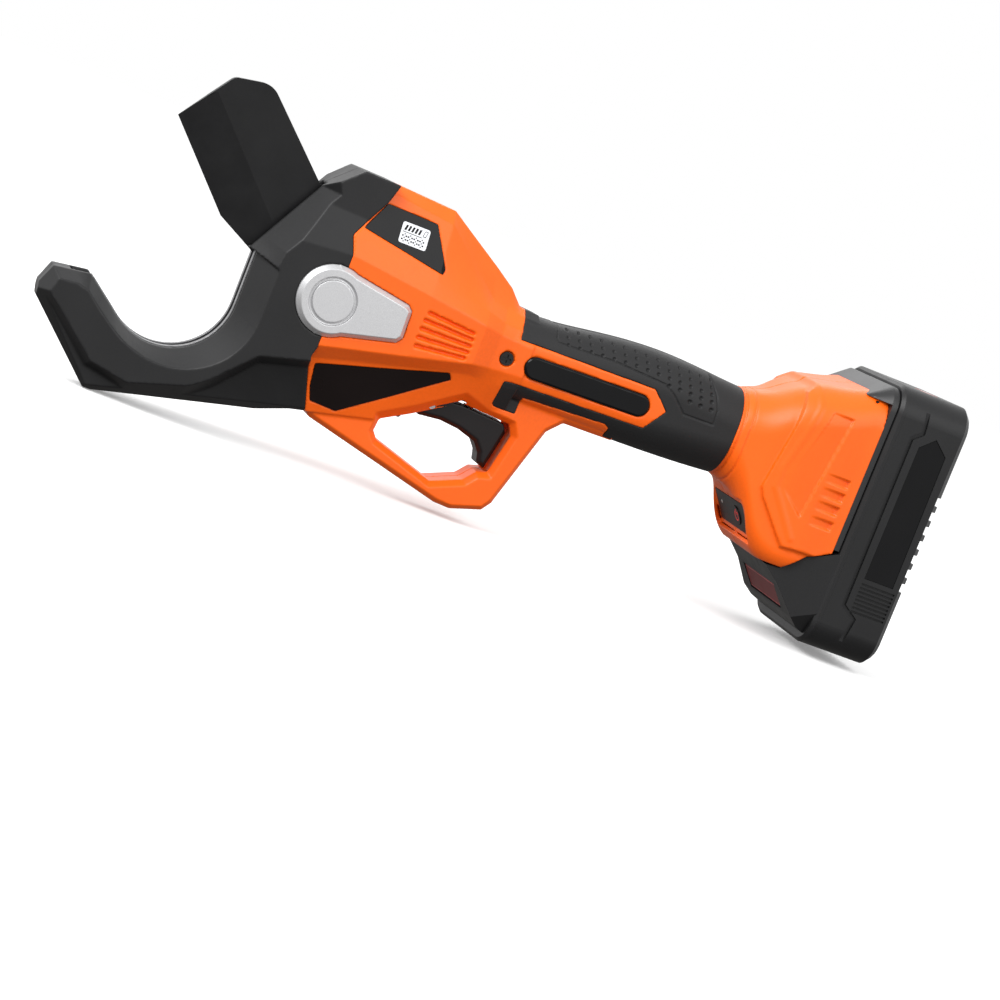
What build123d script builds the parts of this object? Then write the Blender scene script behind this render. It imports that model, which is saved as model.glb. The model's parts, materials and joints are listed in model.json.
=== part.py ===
from build123d import *
import math
import os

# Battery electric pruner, in millimetres.
# X runs along the handle axis, with the cutting head at -X and the battery at +X.
# Z is up in use, and Y is across the tool. The origin is where the handle axis meets
# the flat base of the battery pack. "Left" is the -Y side, and it carries the display.

# ---------------------------------------------------------------- driving dimensions
WALL = 2.6                    # moulded shell wall
CLEAR = 0.3                   # gap between bodies that move past each other
RUN_FIT = 0.05                # radial running clearance of a shaft in its bore

# cutting head
PIVOT_X = -270.2
PIVOT_Z = -6.7
BOWL_X = -329.0
BOWL_Z = -23.0
BOWL_R = 26.0                 # cutting bowl, about 52 mm round
BOWL_LIP = 0.5                # the plastic covers stand back from the plates here
HOOK_TIP_X = -379.0
HEAD_SEAM_X = -269.0          # where the black head meets the orange body
COVER_STRAIGHT = 7.5          # half width where the wide edge bevel starts
BEVEL_DEG = 30.0
BLADE_T = 4.4
BLADE_REACH = 92.4            # pivot to the blade's front corner
PLATE_T = 3.0
WASHER_T = 0.35
WASHER_R = 12.5
WASHER_FIRST_Y = BLADE_T / 2 + 0.02
WASHER_BORE_CLEAR = 0.2
PLATE_FIRST_Y = BLADE_T / 2 + 0.4
PLATE_LAST_Y = PLATE_FIRST_Y + PLATE_T
COVER_FIRST_Y = PLATE_LAST_Y + CLEAR
SHAFT_R = 5.0
BUSH_R = 7.0
HUB_R = 15.0
JAW_BOLT_R = 2.0
JAW_BOLT_CLEAR = 0.1

# half widths of the tool
BODY_HALF = 25.0
HEAD_HALF = 22.0
HOOK_HALF = 14.0
GRIP_HALF = 18.5
FOOT_HALF = 32.8
GUARD_HALF = 11.5

# drive train
PINION_TEETH = 14
GEAR_TEETH = 48
GEAR_MODULE = 1.25
FACE_WIDTH = 7.0
TOOTH_T = 1.45
ADDENDUM = 0.9
DEDENDUM = 1.5
FLANK_DEG = 20.0
GEAR_BACK_Y = 13.0
OUTPUT_SHAFT_R = 3.0
GEARBOX_R = 15.0
GEARBOX_LEN = 22.0
MOTOR_R = 13.6
MOTOR_LEN = 23.0

# trigger
TRIGGER_X = -213.0
TRIGGER_Z = -33.0
TRIGGER_HALF = 6.5
TRIGGER_PIN_R = 1.5

# handle
GRIP_FRONT_X = -190.0
RUBBER_T = 2.0
RING_R = 19.2

# battery pack
PACK_HALF = 36.5
PACK_TOP_Z = 45.5
PACK_LOW_Z = -71.0
PACK_CORNER_R = 12.0
DECK_X = -33.0
CELL_R = 9.15
CELL_LEN = 65.0
CELL_COUNT = 5
CELL_PITCH = 18.8
BASE_CHAMFER = 2.5
TOOTH_PITCH = 6.5
TOOTH_GROOVES = 7
RAIL_IN = 20.0
RAIL_OUT = 26.0
FLANGE_OUT = 29.0
RAIL_TOP_X = -41.0
RAIL_ROOM_TOP = 35.2
FLANGE_UNDER_X = -37.2

LEFT = Plane.XZ               # sketch x is X, sketch y is Z, and extrusion goes to -Y
BIG = 400.0
FAR_Y = 60.0                  # half width beyond every piece


# ---------------------------------------------------------------- helpers
def outline(points, radius=0.0, corners=None):
    """Closed face from points given as (X, Z), with optional rounded corners."""
    face = make_face(Polyline(*points, close=True).edges())
    if radius > 0:
        picked = face.vertices()
        if corners is not None:
            picked = [v for v in picked if any(abs(v.X - x) + abs(v.Y - z) < 0.01 for x, z in corners)]
        face = fillet(picked, radius)
    return face


def slab(face, y0, y1, taper=0.0):
    """Left-side slab of an (X, Z) face from half width y0 out to half width y1."""
    return extrude(LEFT.offset(y0) * face, amount=y1 - y0, taper=taper)


def centred(face, half):
    """Slab of an (X, Z) face that reaches to both sides of the middle."""
    return extrude(LEFT.offset(-half) * face, amount=2 * half)


def disc(x, z, radius, y0, y1):
    """Left-side disc about a Y axis, from half width y0 to y1."""
    return slab(Pos(x, z) * Circle(radius), y0, y1)


def right(shape):
    """The same piece on the +Y side."""
    return mirror(shape, about=Plane.XZ)


def box(x0, x1, y0, y1, z0, z1):
    """Box from its limits."""
    size = Box(x1 - x0, y1 - y0, z1 - z0)
    return Pos((x0 + x1) / 2, (y0 + y1) / 2, (z0 + z1) / 2) * size


def x_cylinder(x0, x1, radius, y=0.0, z=PIVOT_Z):
    """Cylinder along the drive axis."""
    return Pos((x0 + x1) / 2, y, z) * Rot(0, 90, 0) * Cylinder(radius, x1 - x0)


def half_loft(stations):
    """Left half of a faceted body: each station is (x, [(half width, z), ...])."""
    wires = []
    for x, rim in stations:
        points = [(x, 0, rim[0][1])]
        points += [(x, -y, z) for y, z in rim]
        points.append((x, 0, rim[-1][1]))
        wires.append(Wire.make_polygon(points, close=True))
    return Solid.make_loft(wires, ruled=True)


def inset(stations, d):
    """The same stations moved in by d, for the inside of a wall."""
    moved = []
    for x, rim in stations:
        last = len(rim) - 1
        row = []
        for i, (y, z) in enumerate(rim):
            sign = 1 if i < last / 2 else -1
            row.append((y - d, z - sign * d))
        moved.append((x, row))
    return moved


def rounded_section(x, half, low, high, radius):
    """Rounded rectangle across the handle at x."""
    plane = Plane(origin=(x, 0, (low + high) / 2), x_dir=(0, 1, 0), z_dir=(1, 0, 0))
    return plane * RectangleRounded(2 * half, high - low, radius)


def foot_section(x, half, low, high, top_radius, low_radius):
    """Section of the foot at x, with its own corner radii at the top and at the bottom."""
    plane = Plane(origin=(x, 0, 0), x_dir=(0, 1, 0), z_dir=(1, 0, 0))
    corners = [(-half, low), (half, low), (half, high), (-half, high)]
    face = make_face(Polyline(*corners, close=True).edges())
    face = fillet([v for v in face.vertices() if v.Y > low + 1], top_radius)
    face = fillet([v for v in face.vertices() if v.Y < low + 0.01], low_radius)
    return plane * face


def left_half(shape):
    """Keep the -Y half of a shape."""
    return shape & box(-BIG, BIG, -BIG, 0, -BIG, BIG)


def one(shape):
    """The single largest solid of a shape."""
    return max(shape.solids(), key=lambda s: s.volume)


def save(name, shape):
    """Write one sub-part."""
    solids = shape.solids()
    made = solids[0] if len(solids) == 1 else Compound(children=list(solids))
    export_step(made, f"parts/{name}.step")


# ---------------------------------------------------------------- outlines shared by pieces
def bowl_tangent():
    """Point where the bowl leaves its round part for the straight run to the hook."""
    angle = math.radians(231)
    return (BOWL_X + BOWL_R * math.cos(angle), BOWL_Z + BOWL_R * math.sin(angle))


HOOK_TOP_IN = (-360.0, -31.0)
HOOK_TOP_OUT = (-375.5, -33.0)
FRONT_LOW = (-306.7, 0.6)
FRONT_HIGH = (-288.0, 33.6)
HEAD_PEAK = (-274.9, 45.9)


def bowl_opening(grow):
    """The open mouth of the jaw: a round bowl, a wall behind it, and the way in."""
    r = BOWL_R + grow
    tx, tz = bowl_tangent()
    length = math.dist((tx, tz), (BOWL_X, BOWL_Z))
    tx = BOWL_X + (tx - BOWL_X) * r / length
    tz = BOWL_Z + (tz - BOWL_Z) * r / length
    mouth = [
        (BOWL_X + r, BOWL_Z),
        (BOWL_X + r, FRONT_LOW[1]),
        (FRONT_LOW[0] + 1.2 * grow, FRONT_LOW[1]),
        (FRONT_HIGH[0] + grow, FRONT_HIGH[1] + 0.3),
        (-320, 110),
        (-460, 60),
        (-460, -31.5),
        (HOOK_TOP_OUT[0] - 8, HOOK_TOP_OUT[1] - 1.0 - grow),
        (HOOK_TOP_IN[0] - 1, HOOK_TOP_IN[1] - grow),
        (tx, tz),
        (BOWL_X, BOWL_Z),
    ]
    round_part = Pos(BOWL_X, BOWL_Z) * Circle(r)
    return outline(mouth) + round_part


HEAD_OUTLINE = [
    HOOK_TOP_OUT,
    (HOOK_TIP_X, -41.5),
    (HOOK_TIP_X + 0.8, -47.0),
    (-348.5, -75.0),
    (-345.0, -75.2),
    (-259.5, -54.7),
    (-240.0, -50.0),
    (-240.0, 45.0),
    HEAD_PEAK,
    FRONT_HIGH,
    FRONT_LOW,
    (-330.0, -10.0),
    HOOK_TOP_IN,
]

SEAM_LINE = [
    (-259.9, 90.0),
    (-259.9, 45.2),
    (-262.3, 37.1),
    (-271.3, 20.6),
    (HEAD_SEAM_X, 13.2),
    (HEAD_SEAM_X, -26.2),
    (-270.0, -30.5),
    (-268.0, -36.1),
    (-261.9, -52.7),
    (-257.0, -90.0),
]


# ---------------------------------------------------------------- envelopes
HIGH_HEAD = [
    (-382, [(8, 52), (9, 46), (12, 20), (HOOK_HALF, 12), (HOOK_HALF, -90)]),
    (-335, [(8, 52), (10, 46), (14, 18), (16, 11), (16, -90)]),
    (-300, [(8, 50), (11.5, 44), (20, 17), (HEAD_HALF, 10.5), (HEAD_HALF, -90)]),
    (-268, [(9, 45.9), (13.5, 43), (22.5, 20.4), (BODY_HALF, 13.3), (BODY_HALF, -90)]),
    (-255, [(9, 45.0), (13.5, 42), (22.5, 18.6), (BODY_HALF, 11.8), (BODY_HALF, -90)]),
]
LOW_HEAD = [
    (-382, [(11, 52), (11, -30), (9, -70)]),
    (-335, [(12, 52), (12, -50), (9.5, -80)]),
    (-300, [(16, 52), (16, -38), (11, -68)]),
    (-268, [(19.5, 50), (19.5, -31.0), (12.5, -54.5)]),
    (-255, [(19.5, 50), (19.5, -28.0), (12.5, -51.5)]),
]
BODY = [
    (-281, [(9, 46.6), (13.5, 44.3), (22.5, 22.1), (BODY_HALF, 14.8),
            (BODY_HALF, -28.0), (19.5, -34.0), (12.5, -57.6)]),
    (-233, [(9, 44.0), (13.5, 38.7), (22.5, 16.0), (BODY_HALF, 9.2),
            (BODY_HALF, -16.8), (19.5, -22.0), (12.5, -46.3)]),
    (-207, [(8.5, 28.3), (13, 17.5), (19.5, 11.5), (23, 5.8), (23, -10.8), (18.5, -15.6), (12, -34.0)]),
    (-199, [(8, 23.2), (12.5, 14.8), (17.5, 9.5), (20, 4.5), (20, -10.0), (17.5, -15.5), (11.5, -30.0)]),
    (-193, [(7.5, 17.2), (12.3, 14.2), (17, 9.0), (19.2, 4.0), (19.2, -9.5), (17, -15.5), (11, -28.0)]),
    (-184, [(7, 16.6), (12, 13.8), (16.5, 8.6), (18.6, 3.6), (18.6, -9.0), (16.5, -15.0), (10.5, -26.5)]),
]
GRIP = [
    (-194, GRIP_HALF, -20.9, 16.4, 13.5),
    (-154, GRIP_HALF, -20.9, 19.0, 14.5),
    (-130, GRIP_HALF + 0.5, -20.8, 21.0, 15.5),
    (-103, GRIP_HALF + 0.3, -20.0, 19.8, 16.0),
    (-86, GRIP_HALF + 0.2, -18.9, 18.8, 17.0),
]
# x, half width, lowest and highest z, corner radius at the top and at the bottom
FOOT = [
    (-88, 18.9, -19.1, 19.0, 17.5, 17.5),
    (-80, 22.4, -22.9, 21.6, 17.0, 12.0),
    (-73, 26.0, -32.8, 26.0, 17.0, 8.0),
    (-65, 29.0, -42.8, 30.4, 16.0, 8.0),
    (-56, FOOT_HALF - 1.6, -46.4, 32.6, 15.0, 9.0),
    (-46, FOOT_HALF - 0.6, -47.0, 35.2, 14.0, 10.0),
    (-36, FOOT_HALF, -47.2, 37.4, 13.0, 11.0),
]


def grip_solid(d=0.0):
    """The handle, moved in by d."""
    rows = [rounded_section(x, h - d, lo + d, hi - d, r - d * 0.9) for x, h, lo, hi, r in GRIP]
    return loft(rows)


def foot_solid(d=0.0):
    """The flared foot, moved in by d."""
    rows = []
    for x, half, low, high, top_r, low_r in FOOT:
        rows.append(foot_section(x, half - d, low + d, high - d, top_r - d * 0.9, low_r - d * 0.9))
    return loft(rows)


# ---------------------------------------------------------------- cutting head
JAW_BOLTS = [(-366.5, -42.0), (-318.0, -64.0), (-279.0, -52.5), (-269.5, 36.0)]
JAW_BOLT_HEADS = [8.6, 9.2, 10.0, 9.6]    # half width under each bolt head, on the right
JAW_BOLT_END = 9.5                # half width that the threads reach, on the left
JAW_BOLT_HEAD_R = 3.4
JAW_BOLT_HEAD_T = 2.4
JAW_BOLT_SOCKET_R = 1.3
JAW_BOLT_SOCKET_HALF = 2.0
JAW_BOSS_R = 4.6
PIVOT_NUT_ROOM_R = 11.0
PIVOT_NUT_ROOM_Y = 15.5
RING_R_HEAD = BOWL_R + 13.5       # raised band around the bowl
STEP_WALL_DEG = 45.0
PIVOT_COVER_R = 14.0
PIVOT_COVER_OUT = BODY_HALF + 1.6
POCKET_FLOOR = BODY_HALF - 1.8
PIVOT_RIM_T = 1.4                 # straight edge of the pivot cover, below its bevel
PIVOT_RIM_DEG = 42.0
PIVOT_DISC_R = 8.4
PIVOT_GROOVE_R = 9.8
PIVOT_GROOVE_DEPTH = 1.1
PIVOT_DISC_SUNK = 0.1


def edge_bevels():
    """Wedges that bevel the outer edges of the left cover, one for each outline edge."""
    cuts = []
    edges = [
        (HOOK_TOP_IN, HOOK_TOP_OUT),
        (HOOK_TOP_OUT, (HOOK_TIP_X, -44.0)),
        ((HOOK_TIP_X, -44.0), (-348.5, -75.0)),
        ((-348.5, -75.0), (-240.0, -50.0)),
    ]
    for (x0, z0), (x1, z1) in edges:
        length = math.dist((x0, z0), (x1, z1))
        nx, nz = (z1 - z0) / length, -(x1 - x0) / length
        run = 40.0 * math.tan(math.radians(BEVEL_DEG))
        plane = Plane(
            origin=(x0, -COVER_STRAIGHT, z0),
            x_dir=((x1 - x0) / length, 0, (z1 - z0) / length),
            z_dir=(nx * 40.0, -run, nz * 40.0),
        )
        cuts.append(plane * Pos(length / 2, 0, 30) * Box(length + 16, 160, 60))
    return cuts


def raised_region(d=0.0):
    """What stays proud of the lower face, moved in by d: the ring round the bowl and the head."""
    deep = COVER_STRAIGHT
    high = BODY_HALF + 5
    lower = [(-263, -28.0), (-285.0, -33.0), (-293.0, -41.0), (-329.0, -60.0), (-352.0, -55.0),
             (-371.5, -38.0), (-395, -20), (-395, 60), (-240, 60), (-240, -24.5)]
    grow = (high - deep) * math.tan(math.radians(STEP_WALL_DEG)) * 0.55
    big = outline([(x, z - grow + 1.4 * d) for x, z in lower])
    region = slab(big, deep, high, taper=math.degrees(math.atan(grow / (high - deep))))
    ring = Pos(BOWL_X, BOWL_Z) * Circle(RING_R_HEAD + grow * 0.6 - 1.2 * d)
    region += slab(ring, deep, high, taper=math.degrees(math.atan(grow / (high - deep))))
    return region


def head_shell(d=0.0):
    """The left head cover as a full solid, moved in by d."""
    high = half_loft(inset(HIGH_HEAD, d)) if d else half_loft(HIGH_HEAD)
    low = half_loft([(x, [(y - d, z) for y, z in rim]) for x, rim in LOW_HEAD])
    body = slab(outline(HEAD_OUTLINE), 0, BODY_HALF + 5)
    for cut in edge_bevels():
        body -= cut
    body -= slab(bowl_opening(BOWL_LIP), -1, COVER_STRAIGHT)
    body -= slab(bowl_opening(BOWL_LIP), COVER_STRAIGHT, BODY_HALF + 5, taper=-BEVEL_DEG)
    return body & (low + (high & raised_region(d)))


PLATE_OUTLINE = [
    (-374.0, -36.0),
    (-376.0, -44.0),
    (-348.2, -71.8),
    (-344.5, -72.0),
    (-262.0, -52.4),
    (-252.0, -40.0),
    (-249.5, -25.0),
    (-249.5, 14.0),
    (-256.0, 30.0),
    (-267.0, 41.5),
    (-274.5, 41.8),
    (-286.0, 32.0),
    (-304.0, 2.0),
    (-330.0, -12.0),
    (-361.0, -33.5),
]


def jaw_plate():
    """Left steel jaw plate."""
    plate = slab(outline(PLATE_OUTLINE), PLATE_FIRST_Y, PLATE_LAST_Y)
    plate -= slab(bowl_opening(0.0), 0, PLATE_LAST_Y + 1)
    plate -= disc(PIVOT_X, PIVOT_Z, BUSH_R, 0, PLATE_LAST_Y + 1)
    for x, z in JAW_BOLTS:
        plate -= disc(x, z, JAW_BOLT_R + JAW_BOLT_CLEAR, 0, PLATE_LAST_Y + 1)
    return plate


def jaw_spacer():
    """Strip that holds the two jaw plates apart, out of the blade's way."""
    reach = BLADE_REACH + 1.6
    arc = []
    for deg in range(201, 216, 2):
        a = math.radians(deg)
        arc.append((PIVOT_X + reach * math.cos(a), PIVOT_Z + reach * math.sin(a)))
    points = [(-373.5, -37.0), (-375.5, -44.0), (-348.0, -71.4), (-344.5, -71.6), (-263.0, -52.0),
              (-263.0, -47.0), (-297.0, -52.0)]
    strip = centred(outline(points + arc[::-1]), PLATE_FIRST_Y)
    for x, z in JAW_BOLTS[:3]:
        strip -= Pos(x, 0, z) * Rot(90, 0, 0) * Cylinder(JAW_BOLT_R + JAW_BOLT_CLEAR, 20)
    return strip


def jaw_bolts():
    """Four bolts from the right cover through both plates into the left cover."""
    bolts = []
    for (x, z), head_y in zip(JAW_BOLTS, JAW_BOLT_HEADS):
        length = head_y + JAW_BOLT_END
        shank = Pos(x, (head_y - JAW_BOLT_END) / 2, z) * Rot(90, 0, 0) * Cylinder(JAW_BOLT_R, length)
        head = Pos(x, head_y + JAW_BOLT_HEAD_T / 2, z) * Rot(90, 0, 0)
        head = head * Cylinder(JAW_BOLT_HEAD_R, JAW_BOLT_HEAD_T)
        hexagon = extrude(RegularPolygon(JAW_BOLT_SOCKET_R, 6), JAW_BOLT_SOCKET_HALF, both=True)
        socket = Pos(x, head_y + JAW_BOLT_SOCKET_HALF, z) * Rot(90, 0, 0) * hexagon
        bolts.append((shank + head) - socket)
    return Compound(children=[one(b) for b in bolts])


CAVITY_OUTLINE = [
    (-360.0, -44.0),
    (-345.0, -68.0),
    (-262.0, -50.0),
    (-250.0, -40.0),
    (-250.0, 42.0),
    (-276.0, 42.0),
    (-303.0, 8.0),
    (-303.0, -44.0),
    (-330.0, -56.0),
    (-350.0, -51.0),
]
PLATE_ROOM = [
    (-374.6, -35.5),
    (-376.6, -44.2),
    (-348.4, -72.4),
    (-344.4, -72.6),
    (-255.0, -51.0),
    (-240.0, -40.0),
    (-240.0, 42.4),
    (-274.7, 42.4),
    (-285.0, 34.0),
    (-294.0, 60.0),
    (-420.0, 40.0),
    (-420.0, -10.0),
    (-364.0, -31.0),
]
HEAD_END_CUT = SEAM_LINE + [(-150.0, -90.0), (-150.0, 90.0)]


def head_cover(side_right):
    """One black head cover; the right one carries the jaw bolts' heads."""
    cover = head_shell()
    room = outline(CAVITY_OUTLINE)
    inner = head_shell(WALL) & slab(room, COVER_FIRST_Y, BODY_HALF)
    bowl_wall = slab(bowl_opening(BOWL_LIP + WALL), 0, 9)
    bowl_wall += slab(bowl_opening(BOWL_LIP + WALL), 9, BODY_HALF, taper=-BEVEL_DEG)
    inner -= bowl_wall
    for x, z in JAW_BOLTS:
        inner -= disc(x, z, JAW_BOSS_R, COVER_FIRST_Y, FAR_Y)
    cover -= inner
    cover -= slab(outline(PLATE_ROOM), 0, COVER_FIRST_Y)
    cover -= slab(outline(HEAD_END_CUT), 0, BODY_HALF + 8)
    cover -= pivot_pocket(CLEAR / 2)
    cover -= disc(PIVOT_X, PIVOT_Z, PIVOT_NUT_ROOM_R, 0, PIVOT_NUT_ROOM_Y)
    for (x, z), head_y in zip(JAW_BOLTS, JAW_BOLT_HEADS):
        if side_right:
            cover -= disc(x, z, JAW_BOLT_R + JAW_BOLT_CLEAR, 0, FAR_Y)
            cover -= disc(x, z, JAW_BOLT_HEAD_R + CLEAR, head_y, FAR_Y)
        else:
            cover -= disc(x, z, JAW_BOLT_R, 0, JAW_BOLT_END)
    return one(cover)


def pivot_cover_face(grow=0.0):
    """Round boss cover with a tapering tail to the rear."""
    tail = [
        (-272.5, 8.0 + grow),
        (-240.6, 2.6 + grow),
        (-238.4 + grow, 0.6),
        (-238.0 + grow, -10.8),
        (-240.0, -13.4 - grow),
        (-272.5, -21.4 - grow),
    ]
    return outline(tail) + Pos(PIVOT_X, PIVOT_Z) * Circle(PIVOT_COVER_R + 0.6 + grow)


def pivot_pocket(grow):
    """Recess for the pivot cover."""
    return slab(pivot_cover_face(grow), POCKET_FLOOR, BODY_HALF + 10)


def pivot_cover():
    """Silver cover with a bevelled rim, a raised disc and a groove round it."""
    rim_y = POCKET_FLOOR + PIVOT_RIM_T
    cover = slab(pivot_cover_face(), POCKET_FLOOR, rim_y)
    cover += slab(pivot_cover_face(), rim_y, PIVOT_COVER_OUT, taper=PIVOT_RIM_DEG)
    cover -= disc(PIVOT_X, PIVOT_Z, PIVOT_GROOVE_R, PIVOT_COVER_OUT - PIVOT_GROOVE_DEPTH, FAR_Y)
    cover += disc(PIVOT_X, PIVOT_Z, PIVOT_DISC_R, POCKET_FLOOR, PIVOT_COVER_OUT - PIVOT_DISC_SUNK)
    return one(cover)


BLADE_TIP = (-350.4, 39.1)
BLADE_HEEL = (-320.2, 7.8)
BLADE_TOP = (-334.6, 61.2)
BLADE_BACK = (-319.6, 64.0)
BLADE_EDGE_LAND = 18.0        # width of the ground bevel behind the cutting edge
BLADE_EDGE_T = 0.6


def blade():
    """Broad straight-edged blade, open at rest."""
    points = [BLADE_HEEL, BLADE_TIP, BLADE_TOP, BLADE_BACK, (-286.9, 33.4), (-272.0, 20.2),
              (-259.0, 6.0), (-262.0, -19.0), (-283.0, -15.0), (-304.5, -0.4)]
    face = outline(points)
    face = fillet([v for v in face.vertices() if abs(v.X - BLADE_BACK[0]) < 0.01], 9.0)
    face = fillet([v for v in face.vertices() if abs(v.X - BLADE_TOP[0]) < 0.01], 4.0)
    body = centred(face + Pos(PIVOT_X, PIVOT_Z) * Circle(HUB_R), BLADE_T / 2)
    length = math.dist(BLADE_HEEL, BLADE_TIP)
    ux, uz = (BLADE_TIP[0] - BLADE_HEEL[0]) / length, (BLADE_TIP[1] - BLADE_HEEL[1]) / length
    nx, nz = -uz, ux
    slope = math.degrees(math.atan((BLADE_T - BLADE_EDGE_T) / 2 / BLADE_EDGE_LAND))
    for side in (-1, 1):
        edge = Plane(
            origin=(BLADE_HEEL[0], side * BLADE_EDGE_T / 2, BLADE_HEEL[1]),
            x_dir=(ux, 0, uz),
            z_dir=(nx * math.sin(math.radians(slope)), side * math.cos(math.radians(slope)),
                   nz * math.sin(math.radians(slope))),
        )
        if edge.z_dir.dot(Vector(PIVOT_X - BLADE_HEEL[0], 0, PIVOT_Z - BLADE_HEEL[1])) > 0:
            edge = Plane(
                origin=edge.origin,
                x_dir=(ux, 0, uz),
                z_dir=(-nx * math.sin(math.radians(slope)), side * math.cos(math.radians(slope)),
                       -nz * math.sin(math.radians(slope))),
            )
        body -= edge * Pos(8, 0, 10) * Box(76, 200, 20)
    body -= Pos(PIVOT_X, 0, PIVOT_Z) * Rot(90, 0, 0) * Cylinder(SHAFT_R, 20)
    return one(body)


def blade_washers():
    """Thin washers between the blade and the two jaw plates."""
    ring = disc(PIVOT_X, PIVOT_Z, WASHER_R, WASHER_FIRST_Y, WASHER_FIRST_Y + WASHER_T)
    ring -= disc(PIVOT_X, PIVOT_Z, SHAFT_R + WASHER_BORE_CLEAR, 0, FAR_Y)
    return Compound(children=[one(ring), one(right(ring))])


def pivot_bushings():
    """Plain bearings pressed into the jaw plates."""
    bush = disc(PIVOT_X, PIVOT_Z, BUSH_R, PLATE_FIRST_Y, PLATE_LAST_Y)
    bush -= disc(PIVOT_X, PIVOT_Z, SHAFT_R + RUN_FIT, 0, 10)
    return Compound(children=[one(bush), one(right(bush))])


def pivot_shaft():
    """Shaft that carries the blade and its gear, with a flange at each end."""
    shaft = Pos(PIVOT_X, 1.5, PIVOT_Z) * Rot(90, 0, 0) * Cylinder(SHAFT_R, 27)
    return one(shaft)


def pivot_nut():
    """Hex nut on the left end of the pivot shaft."""
    nut = slab(Pos(PIVOT_X, PIVOT_Z) * RegularPolygon(8.5, 6), PLATE_LAST_Y + 0.4, PLATE_LAST_Y + 6.0)
    return one(nut - disc(PIVOT_X, PIVOT_Z, SHAFT_R, 0, 30))


# ---------------------------------------------------------------- bevel gears
GEAR_R = GEAR_TEETH * GEAR_MODULE / 2
PINION_R = PINION_TEETH * GEAR_MODULE / 2
PINION_CONE = math.atan(PINION_TEETH / GEAR_TEETH)
CONE_DIST = GEAR_R / math.cos(PINION_CONE)
SCALE_IN = (CONE_DIST - FACE_WIDTH) / CONE_DIST


def cone_tooth(radius, along, normal_r, normal_a):
    """One bevel tooth in (radial, tangential, along axis) space, apex at the origin."""
    lean = math.tan(math.radians(FLANK_DEG))
    rows = []
    for h in (ADDENDUM, -DEDENDUM - 0.3):
        half = TOOTH_T / 2 - h * lean
        rows.append((radius + h * normal_r, half, along + h * normal_a))
    top, root = rows
    big = [(top[0], top[1], top[2]), (top[0], -top[1], top[2]),
           (root[0], -root[1], root[2]), (root[0], root[1], root[2])]
    small = [(x * SCALE_IN, y * SCALE_IN, z * SCALE_IN) for x, y, z in big]
    wires = [Wire.make_polygon(big, close=True), Wire.make_polygon(small, close=True)]
    return Solid.make_loft(wires, ruled=True)


def gear_blank(radius, along, normal_r, normal_a, back, bore, foot_r):
    """Root cone of a bevel gear as a turned solid about Z."""
    r0, a0 = radius - DEDENDUM * normal_r, along - DEDENDUM * normal_a
    r1, a1 = r0 * SCALE_IN, a0 * SCALE_IN
    section = [(bore, 0, a1), (r1, 0, a1), (r0, 0, a0), (foot_r, 0, back), (bore, 0, back)]
    return revolve(make_face(Polyline(*section, close=True).edges()), Axis.Z, 360)


def blade_gear():
    """Bevel gear sector keyed to the pivot shaft beside the right jaw plate."""
    nr, na = math.sin(PINION_CONE), -math.cos(PINION_CONE)
    blank = gear_blank(GEAR_R, PINION_R, nr, na, GEAR_BACK_Y, SHAFT_R, GEAR_R - 0.5)
    keep = outline([(0, 0), (60, -12), (60, 120), (8, 60)])
    keep_solid = extrude(keep, 40, both=True) + Cylinder(HUB_R - 1, 80)
    gear = blank & keep_solid
    for i in range(-1, 11):
        gear += Rot(0, 0, 360 / GEAR_TEETH * i) * cone_tooth(GEAR_R, PINION_R, nr, na)
    gear -= Cylinder(SHAFT_R, 80)
    return one(Pos(PIVOT_X, 0, PIVOT_Z) * Rot(-90, 0, 0) * gear)


PINION_OUT_X = PIVOT_X + GEAR_R
GEARBOX_FRONT_X = PINION_OUT_X + 4.2


def bevel_pinion():
    """Bevel pinion with its shaft, which the gearbox turns."""
    nr, na = math.cos(PINION_CONE), -math.sin(PINION_CONE)
    pinion = gear_blank(PINION_R, GEAR_R, nr, na, GEAR_R + 1.5, 0.0, PINION_R - 1.2)
    for i in range(PINION_TEETH):
        turn = 90 + 360 / PINION_TEETH * (i + 0.5)
        pinion += Rot(0, 0, turn) * cone_tooth(PINION_R, GEAR_R, nr, na)
    pinion += Pos(0, 0, GEAR_R + 5.0) * Cylinder(OUTPUT_SHAFT_R, 12.0)
    return one(Pos(PIVOT_X, 0, PIVOT_Z) * Rot(0, 90, 0) * pinion)


def gearbox():
    """Sealed planetary gearbox on the motor's nose."""
    end = GEARBOX_FRONT_X + GEARBOX_LEN
    can = x_cylinder(GEARBOX_FRONT_X + 3, end, GEARBOX_R) + x_cylinder(GEARBOX_FRONT_X, end, 11)
    can -= x_cylinder(GEARBOX_FRONT_X - 1, GEARBOX_FRONT_X + 10, OUTPUT_SHAFT_R + RUN_FIT)
    return one(can)


MOTOR_X0 = GEARBOX_FRONT_X + GEARBOX_LEN
MOTOR_X1 = MOTOR_X0 + MOTOR_LEN


def motor():
    """Short brushless motor."""
    can = x_cylinder(MOTOR_X0, MOTOR_X1 - 3, MOTOR_R) + x_cylinder(MOTOR_X1 - 3, MOTOR_X1, 9)
    for i in range(6):
        slot = Rot(60 * i, 0, 0) * Pos(0, 0, MOTOR_R) * Box(9, 4, 2)
        can -= Pos((MOTOR_X0 + MOTOR_X1) / 2 - 1, 0, PIVOT_Z) * slot
    return one(can)


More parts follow.
